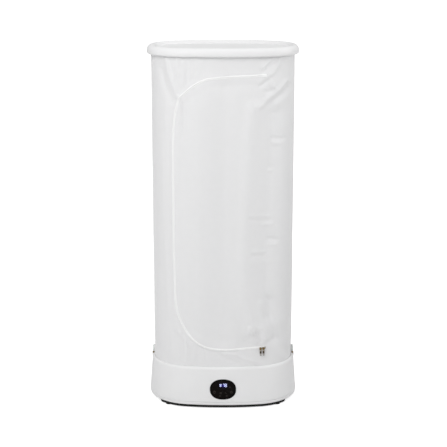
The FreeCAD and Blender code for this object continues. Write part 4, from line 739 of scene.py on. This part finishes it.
def apply_modifiers(piece):
    """Turns the piece's modifiers into its mesh."""
    bpy.context.view_layer.update()
    graph = bpy.context.evaluated_depsgraph_get()
    mesh = bpy.data.meshes.new_from_object(piece.evaluated_get(graph), depsgraph=graph)
    piece.modifiers.clear()
    piece.data = mesh
    mesh.shade_smooth()
    mesh.set_sharp_from_angle(angle=math.radians(55))


def door_outline(gap):
    """The door's closed outline, gap millimetres outside the zip's middle."""
    route = zip_route(5.0)
    route = route - route_sides(route) * gap
    hinge = float(front_distance(HINGE_X))
    route[0] = (hinge, route[0][1])
    route[-1] = (hinge, route[-1][1])
    return route


class CABINET_OT_cover(bpy.types.Operator):
    """Make the stretched cloth cover with its creases and the door's opening"""
    bl_idname = "cabinet.cover"
    bl_label = "Cloth cover"

    def execute(self, context):
        hinge = float(front_distance(HINGE_X))
        reach = float(front_distance(FINE_REACH))
        whole = 4 * QUARTER
        fine = cloth_lines(-reach, reach, FINE_PITCH, [hinge])
        coarse = cloth_lines(reach, whole - reach, COARSE_PITCH)
        columns = np.concatenate([fine, coarse[1:-1]])
        rows = cloth_lines(COVER_BASE, COVER_TOP, ROW_PITCH, [HINGE_BOTTOM, HINGE_TOP])
        grid, faces = cut_grid(columns, rows, door_outline(DOOR_GAP), False, True)
        piece = add_cloth("cover_sheet", grid, faces, "root",
                          ("cover_front", "cover_back", "cover_left", "cover_right"))
        size = (whole * MM, (COVER_TOP - COVER_BASE) * MM)
        area = size[0] * size[1] - door_area()
        return {"FINISHED"}


def door_area():
    """Area in square metres inside the zip and the hinge."""
    outline = door_outline(0.0)
    x, z = outline[:, 0], outline[:, 1]
    return abs(np.dot(x, np.roll(z, -1)) - np.dot(z, np.roll(x, -1))) / 2 * MM * MM


def bend_at_hinge(piece):
    """Takes the piece off any parent, keeping its place, and bakes that place into its mesh."""
    world = piece.matrix_world.copy()
    piece.parent = None
    piece.matrix_world = world
    y = float(plan(front_distance(HINGE_X), REFERENCE_INSET)[1]) * MM
    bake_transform(piece)


class CABINET_OT_door(bpy.types.Operator):
    """Make the door's cloth"""
    bl_idname = "cabinet.door"
    bl_label = "Door cloth"

    def execute(self, context):
        outline = door_outline(-DOOR_GAP)
        hinge = float(front_distance(HINGE_X))
        columns = cloth_lines(outline[:, 0].min(), hinge, FINE_PITCH)
        # The zip's line runs a little below the hinge's bottom.
        rows = cloth_lines(HINGE_BOTTOM - 14, HINGE_TOP + 4, ROW_PITCH, [HINGE_BOTTOM, HINGE_TOP])
        grid, faces = cut_grid(columns, rows, outline, True, False)
        piece = add_cloth("door_sheet", grid, faces, None, ("door_flap",))
        bend_at_hinge(piece)
        door_area()
        return {"FINISHED"}


class CABINET_OT_zip(bpy.types.Operator):
    """Make the zip's two toothed tapes, one on the cover and one on the door"""
    bl_idname = "cabinet.zip"
    bl_label = "Zip"

    def execute(self, context):
        sizes = context.scene.cabinet_sizes
        step = 0.6
        route = zip_route(step)
        sides = route_sides(route)
        width = sizes.tape_width / MM
        pitch = sizes.tooth_pitch / MM
        run = np.arange(len(route)) * step
        tooth = 0.5 + 0.5 * np.cos(2 * math.pi * run / pitch)
        # Offset from the zip's middle, height over the cloth and the teeth's share of it.
        profile = [(0.12, -0.5, 0), (0.12, 1.0, 0.25), (0.5, 1.35, 0.35), (1.3, 1.35, 0.35), (1.7, 1.1, 0.1),
                   (width * 0.62, 0.9, 0), (width * 0.9, 0.6, 0), (width, 0.2, 0), (width, -0.7, 0)]
        faces = tube_faces(len(profile), len(route))
        for name, node, body, sign, teeth in (("door_tape", "door_zip", None, 1, tooth),
                                              ("cover_tape", "cover_zip", "root", -1, 1 - tooth)):
            rows = []
            for offset, height, bite in profile:
                here = route + sides * (sign * offset)
                rows.append(cloth_place(here[:, 0], here[:, 1], height + bite * teeth))
            piece = add_piece(name, np.concatenate(rows), faces, "zip_white", body, (node,), sharp=50.0)
            if body is None:
                bend_at_hinge(piece)
        return {"FINISHED"}


# ---- lid

def arc_points(start, end, count, upright_first):
    """Pairs along a quarter ellipse, without the first."""
    angles = math.pi / 2 * np.arange(1, count + 1) / count
    shares = [1 - np.cos(angles), np.sin(angles)]
    if not upright_first:
        shares.reverse()
    return (np.array(start) + np.subtract(end, start) * np.transpose(shares)).tolist()


LID_TOP = 1443.0
LID_WIDEST = 1422.0
LID_LOWEST = 1409.0
LID_EDGE = 3.8
LID_CREST = 20.9
DISH_EDGE = 37.0
SPIGOT_PLACE = (221.5, 116.6)
SPIGOT_RADIUS = 7.9
SPIGOT_DROP = 37.0
PEG_SIDES = 32


class CABINET_OT_lid(bpy.types.Operator):
    """Make the dished lid with its rolled bead, inner rib and four spigots"""
    bl_idname = "cabinet.lid"
    bl_label = "Lid"

    def execute(self, context):
        top, wide, low = LID_TOP, LID_WIDEST, LID_LOWEST
        floor = top - context.scene.cabinet_sizes.dish_depth / MM
        # Pairs of inset and height: the bead's underside and round, the dish's slope, the inside, a rib.
        lower = [(LID_EDGE, wide), (LID_EDGE, wide - 3.2), (4.1, wide - 6.0), (4.9, wide - 8.4),
                 (6.4, low + 2.5), (8.6, low + 1.1), (11.4, low + 0.3), (14.6, low), (18.0, low)]
        upper = arc_points((LID_EDGE, wide), (LID_CREST, top), 12, True)
        slope = arc_points((LID_CREST, top), (DISH_EDGE, floor + 1.4), 8, False)
        slope += arc_points((DISH_EDGE, floor + 1.4), (39.5, floor), 4, True)
        inner = [(18.4, low + 3.2), (10.5, low + 5.0), (6.8, wide), (9.5, wide + 11), (LID_CREST, top - 3.0),
                 (24.0, top - 3.2)]
        rib = [(24.0, low + 0.4), (24.4, low), (26.6, low), (27.0, low + 0.4), (27.0, floor - 3.0)]
        profile = (lower[::-1] + upper + slope)[::-1] + inner + rib
        count = 360
        verts = ring_verts(profile, count)
        faces = strip_faces(len(profile), count, close_columns=True)
        verts, faces = close_disc(verts, faces, 0, count, 4)
        verts, faces = close_disc(verts, faces, (len(profile) - 1) * count, count, 3)
        x, y = SPIGOT_PLACE
        for place in ((x, y), (-x, y), (x, -y), (-x, -y)):
            verts, faces = add_peg(verts, faces, *place, floor - 3.2, floor - SPIGOT_DROP, SPIGOT_RADIUS)
        add_piece("lid_shell", verts, faces, "white_shell", "lid", ("lid",), sharp=38.0)
        return {"FINISHED"}


def close_disc(verts, faces, start, count, rings):
    """Fills a ring of vertices towards its middle."""
    outer = verts[start:start + count]
    middle = outer.mean(0)
    fresh = [middle + (outer - middle) * (1 - ring / rings) for ring in range(1, rings)]
    last = (rings - 1) * count
    number = [*range(start, start + count), *range(len(verts), len(verts) + last + 1)]
    fill = strip_faces(rings, count, close_columns=True)
    fill += [(last + i, last + (i + 1) % count, last + count) for i in range(count)]
    faces += [[number[index] for index in face] for face in fill]
    return np.concatenate([verts, *fresh, middle[None]]), faces


def add_peg(verts, faces, x, y, high, low, radius):
    """A round peg with a softened lower end."""
    around = np.linspace(0, 2 * math.pi, PEG_SIDES, endpoint=False)
    steps = ((radius, high), (radius, low + 1.5), (radius - 0.5, low + 0.4), (radius - 1.6, low))
    start = len(verts)
    for reach, z in steps:
        ring = [x + reach * np.cos(around), y + reach * np.sin(around), np.full(PEG_SIDES, z)]
        verts = np.concatenate([verts, np.stack(ring, -1) * MM])
    sides = strip_faces(len(steps), PEG_SIDES, close_columns=True)
    faces += [[start + index for index in face] for face in sides]
    faces.append(range(len(verts) - PEG_SIDES, len(verts)))
    return verts, faces


# ---- control panel

WALL_FOOT = 27.7
LEAN = math.atan(9.8 / (159.0 - WALL_FOOT))
PANEL_HEIGHT = 82.3
LENS_HALF = (46.4, 35.75)
LENS_FULLNESS = 2.25
# Share of the lens's reach and how far it stands out there, from its hidden edge to its middle.
LENS_RINGS = ((1.0, -2.6), (1.0, 0.1), (0.992, 0.32), (0.975, 0.4), (0.8, 0.45), (0.5, 0.5), (0.2, 0.52))
FIGURE_SIZE = (6.2, 12.0)
FIGURE_HEIGHT = 11.0
SEGMENTS = {"7": "abc", "8": "abcdefg"}


def panel_place(across, up, out):
    """A point in metres on the leaning panel, out millimetres in front of its wall."""
    wall = HALF_DEPTH - math.tan(LEAN) * (PANEL_HEIGHT - WALL_FOOT)
    y = -wall + up * math.sin(LEAN) - out * math.cos(LEAN)
    return (across * MM, y * MM, (PANEL_HEIGHT + up * math.cos(LEAN) + out * math.sin(LEAN)) * MM)


def stroke_sides(points, half):
    """Both sides of a line of points drawn with a pen of this half width."""
    points = np.asarray(points, float)
    ahead = np.gradient(points, axis=0)
    ahead /= np.linalg.norm(ahead, axis=1)[:, None]
    side = np.stack([-ahead[:, 1], ahead[:, 0]], -1) * half
    return points + side, points - side


def digit_strokes(figure, x, gap=0.8):
    """The bars of one seven-bar figure, a to g, with small gaps at their ends."""
    width, height = FIGURE_SIZE
    half = height / 2
    flat = {"a": height, "g": half, "d": 0}
    upright = {"b": (width, half), "c": (width, 0), "e": (0, 0), "f": (0, half)}
    bars = {bar: ((gap, up), (width - gap, up)) for bar, up in flat.items()}
    for bar, (side, foot) in upright.items():
        bars[bar] = ((side, foot + gap), (side, foot + half - gap))
    return [[(x + px, FIGURE_HEIGHT + pz) for px, pz in bars[bar]] for bar in SEGMENTS[figure]]


def ring_stroke(x, z, radius, start=0.0, end=360.0):
    """A ring, or an arc between two angles in degrees."""
    return [(x + radius * math.cos(a), z + radius * math.sin(a))
            for a in np.radians(np.linspace(start, end, 25))]


def add_marks(name, strokes, half, out, slot, material=None):
    """Thin raised strokes on the panel's window."""
    back = out - 0.25
    verts, faces = [], []
    for stroke in strokes:
        left, right = stroke_sides(stroke, half)
        start = len(verts)
        for rail, layer in ((left, out), (right, out), (right, back), (left, back)):
            verts += [panel_place(x, z, layer) for x, z in rail]
        faces += [[start + index for index in face] for face in tube_faces(4, len(left))]
    return add_piece(name, verts, faces, slot, material=material)


class CABINET_OT_panel(bpy.types.Operator):
    """Make the panel's dark window, its lit figures and its faint touch marks"""
    bl_idname = "cabinet.panel"
    bl_label = "Control panel"

    def execute(self, context):
        half_x, half_z = LENS_HALF
        count = 72
        oval = []
        for angle in np.linspace(0, 2 * math.pi, count, endpoint=False):
            x, z = math.cos(angle), math.sin(angle)
            full = (abs(x) ** LENS_FULLNESS + abs(z) ** LENS_FULLNESS) ** (-1 / LENS_FULLNESS)
            oval.append((x * full, z * full))
        verts = [panel_place(half_x * share * x, half_z * share * z, out)
                 for share, out in LENS_RINGS for x, z in oval]
        faces = strip_faces(len(LENS_RINGS), count, close_columns=True)
        faces += [range(count), range(len(verts) - count, len(verts))]
        add_piece("panel_window", verts, faces, "panel_black", "root", ("panel_lens",),
                  material="window_black")
        lit_strokes = digit_strokes("7", -0.6) + digit_strokes("8", 8.4)
        add_marks("lit_figures", lit_strokes, 0.85, 0.66, "display_light")
        symbol = [ring_stroke(-9.8, 14.4, 2.6), [(-9.8, 17.4), (-9.8, 23.0)], [(-7.0, 18.2), (-5.8, 22.6)],
                  [(-12.6, 18.2), (-13.8, 22.6)]]
        add_marks("lit_symbol", symbol, 0.7, 0.66, "display_light")
        marks = [ring_stroke(-34, -11, 4.6, 110, 430), [(-34, -11), (-34, -4)],
                 ring_stroke(34, -11, 4.6), [(34, -11), (34, -7.4)], [(34, -11), (36.6, -12.6)],
                 [(24.5, 9.5), (31.5, 9.5)], [(28, 6), (28, 13)],
                 ring_stroke(-9, -15, 3.6), ring_stroke(-9, -15, 1.0), [(8, -18), (11, -11.6), (14, -18)],
                 ring_stroke(-11.5, -27, 3.0, 30, 330), [(12, -30), (18, -30)], [(12, -27), (18, -27)],
                 [(12, -24), (18, -24)]]
        add_marks("touch_marks", marks, 0.5, 0.62, "panel_black", "mark_grey")
        return {"FINISHED"}


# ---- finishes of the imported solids

class CABINET_OT_finishes(bpy.types.Operator):
    """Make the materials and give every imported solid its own"""
    bl_idname = "cabinet.finishes"
    bl_label = "Finishes"

    def execute(self, context):
        make_materials(context.scene.cabinet_sizes, context.scene.cabinet_colours)
        for name, node in NODES.items():
            for place in node.material_slots:
                place.material = MATERIALS[SLOT_OF[name]]
        return {"FINISHED"}


# ---- stage

# The fitted camera: the photo's width and the focal length in its pixels, the shift, place and tilt.
PICTURE_WIDTH = 447
FOCAL_LENGTH = 1198.7
CAMERA_SHIFT = 0.55
CAMERA_PLACE = (0.0, -4.736, 1.8573)
CAMERA_TILT = 13.52
SENSOR = 36.0
FLOOR_REACH = 60.0


def add_lamp(name, power, size, place, target, spread=180.0):
    """A square lamp of this size in metres, turned to its target."""
    light = bpy.data.lights.new(name, "AREA")
    light.size = size
    light.energy = power
    light.spread = math.radians(spread)
    lamp = bpy.data.objects.new(name, light)
    lamp.location = place
    lamp.rotation_euler = (Vector(target) - Vector(place)).to_track_quat("-Z", "Y").to_euler()
    bpy.context.scene.collection.objects.link(lamp)


class CABINET_OT_stage(bpy.types.Operator):
    """Set the camera, the soft lamps, the pale floor and the white surroundings"""
    bl_idname = "cabinet.stage"
    bl_label = "Stage"

    def execute(self, context):
        scene = context.scene
        stage = scene.cabinet_stage
        camera = bpy.data.cameras.new("camera")
        camera.sensor_width = SENSOR
        camera.lens = FOCAL_LENGTH / PICTURE_WIDTH * SENSOR
        camera.shift_x = CAMERA_SHIFT / PICTURE_WIDTH
        camera.clip_end = 200.0
        view = bpy.data.objects.new("camera", camera)
        view.location = CAMERA_PLACE
        view.rotation_euler = (math.pi / 2 - math.radians(CAMERA_TILT), 0.0, 0.0)
        scene.collection.objects.link(view)
        scene.camera = view
        scene.view_settings.view_transform = "Standard"

        add_lamp("key_lamp", stage.key_power, 1.6, (-1.1, -2.6, 3.3), (0, 0, 1.0))
        add_lamp("low_lamp", stage.low_power, 1.8, (-1.5, -3.1, 2.2), (0, 0, 1.0))
        add_lamp("side_lamp", stage.side_power, 1.6, (3.1, -0.1, 2.3), (0, 0, 1.7), 80.0)
        add_surroundings(scene, stage)

        mesh = bpy.data.meshes.new("floor")
        corners = [(x * FLOOR_REACH, y * FLOOR_REACH, 0) for x, y in ((-1, -1), (1, -1), (1, 1), (-1, 1))]
        mesh.from_pydata(corners, [], [(0, 1, 2, 3)])
        floor = bpy.data.objects.new("floor", mesh)
        scene.collection.objects.link(floor)
        mesh.materials.append(floor_material())
        return {"FINISHED"}


def add_surroundings(scene, stage):
    """A world that is white to the camera, partly so to gloss and clear parts, and softer as a light."""
    world = bpy.data.worlds.new("surroundings")
    world.use_nodes = True
    scene.world = world
    shader = Shader("surroundings", world.node_tree)
    camera, gloss, through = [shader.node("ShaderNodeLightPath", {}, {}, name)
                              for name in ("Is Camera Ray", "Is Glossy Ray", "Is Transmission Ray")]
    white = (camera + gloss * 0.3 + through * 0.8).clamp()
    rise = shader.axis("Z", shader.node("ShaderNodeTexCoord", {}, {}, "Generated")).clamp()
    level, high, bright = [shader.node("ShaderNodeBackground", {}, {"Color": WHITE, "Strength": strength})
                           for strength in (stage.sky, stage.overhead, 1.0)]
    plain = shader.node("ShaderNodeMixShader", {}, {0: rise, 1: level, 2: high})
    surface = shader.node("ShaderNodeMixShader", {}, {0: white, 1: plain, 2: bright})
    shader.node("ShaderNodeOutputWorld", {}, {"Surface": surface})


def floor_material():
    """Pale matt floor that shows nearly white and keeps the object's shadow."""
    shader = Shader("floor")
    base = shader.blend(shader.noise(1.5, 3.0), opaque((0.86, 0.86, 0.86)), opaque((0.90, 0.90, 0.90)))
    ground = shader.node("ShaderNodeBsdfDiffuse", {}, {"Color": base, "Roughness": 0.3})
    glow = shader.node("ShaderNodeEmission", {}, {"Color": WHITE, "Strength": 0.62})
    seen = shader.node("ShaderNodeLightPath", {}, {}, "Is Camera Ray")
    both = shader.node("ShaderNodeAddShader", {}, {0: ground, 1: glow})
    surface = shader.node("ShaderNodeMixShader", {}, {0: seen, 1: ground, 2: both})
    shader.node("ShaderNodeOutputMaterial", {}, {"Surface": surface})
    return shader.material


# ---- panel and registration

class CABINET_PT_tools(bpy.types.Panel):
    """The cabinet's sizes, colours and lamps, then its pieces"""
    bl_label = "Drying cabinet"
    bl_space_type = "VIEW_3D"
    bl_region_type = "UI"
    bl_category = "Cabinet"

    def draw(self, context):
        for group, kind in GROUPS.items():
            box = self.layout.box()
            for name in kind.__annotations__:
                box.prop(getattr(context.scene, group), name)
        for operator in OPERATORS:
            self.layout.operator(operator.bl_idname)


GROUPS = {"cabinet_sizes": CabinetSizes, "cabinet_colours": CabinetColours, "cabinet_stage": StageSettings}
OPERATORS = [CABINET_OT_finishes, CABINET_OT_cover, CABINET_OT_door, CABINET_OT_zip, CABINET_OT_lid,
             CABINET_OT_panel, CABINET_OT_stage]
CLASSES = [*GROUPS.values(), *OPERATORS, CABINET_PT_tools]


def register():
    for kind in CLASSES:
        bpy.utils.register_class(kind)
    for name, kind in GROUPS.items():
        setattr(bpy.types.Scene, name, PointerProperty(type=kind))


def unregister():
    for name in GROUPS:
        delattr(bpy.types.Scene, name)
    for kind in reversed(CLASSES):
        bpy.utils.unregister_class(kind)


def main():
    register()
    for operator in OPERATORS:
        group, name = operator.bl_idname.split(".")
        getattr(getattr(bpy.ops, group), name)()


if __name__ == "__main__":
    main()
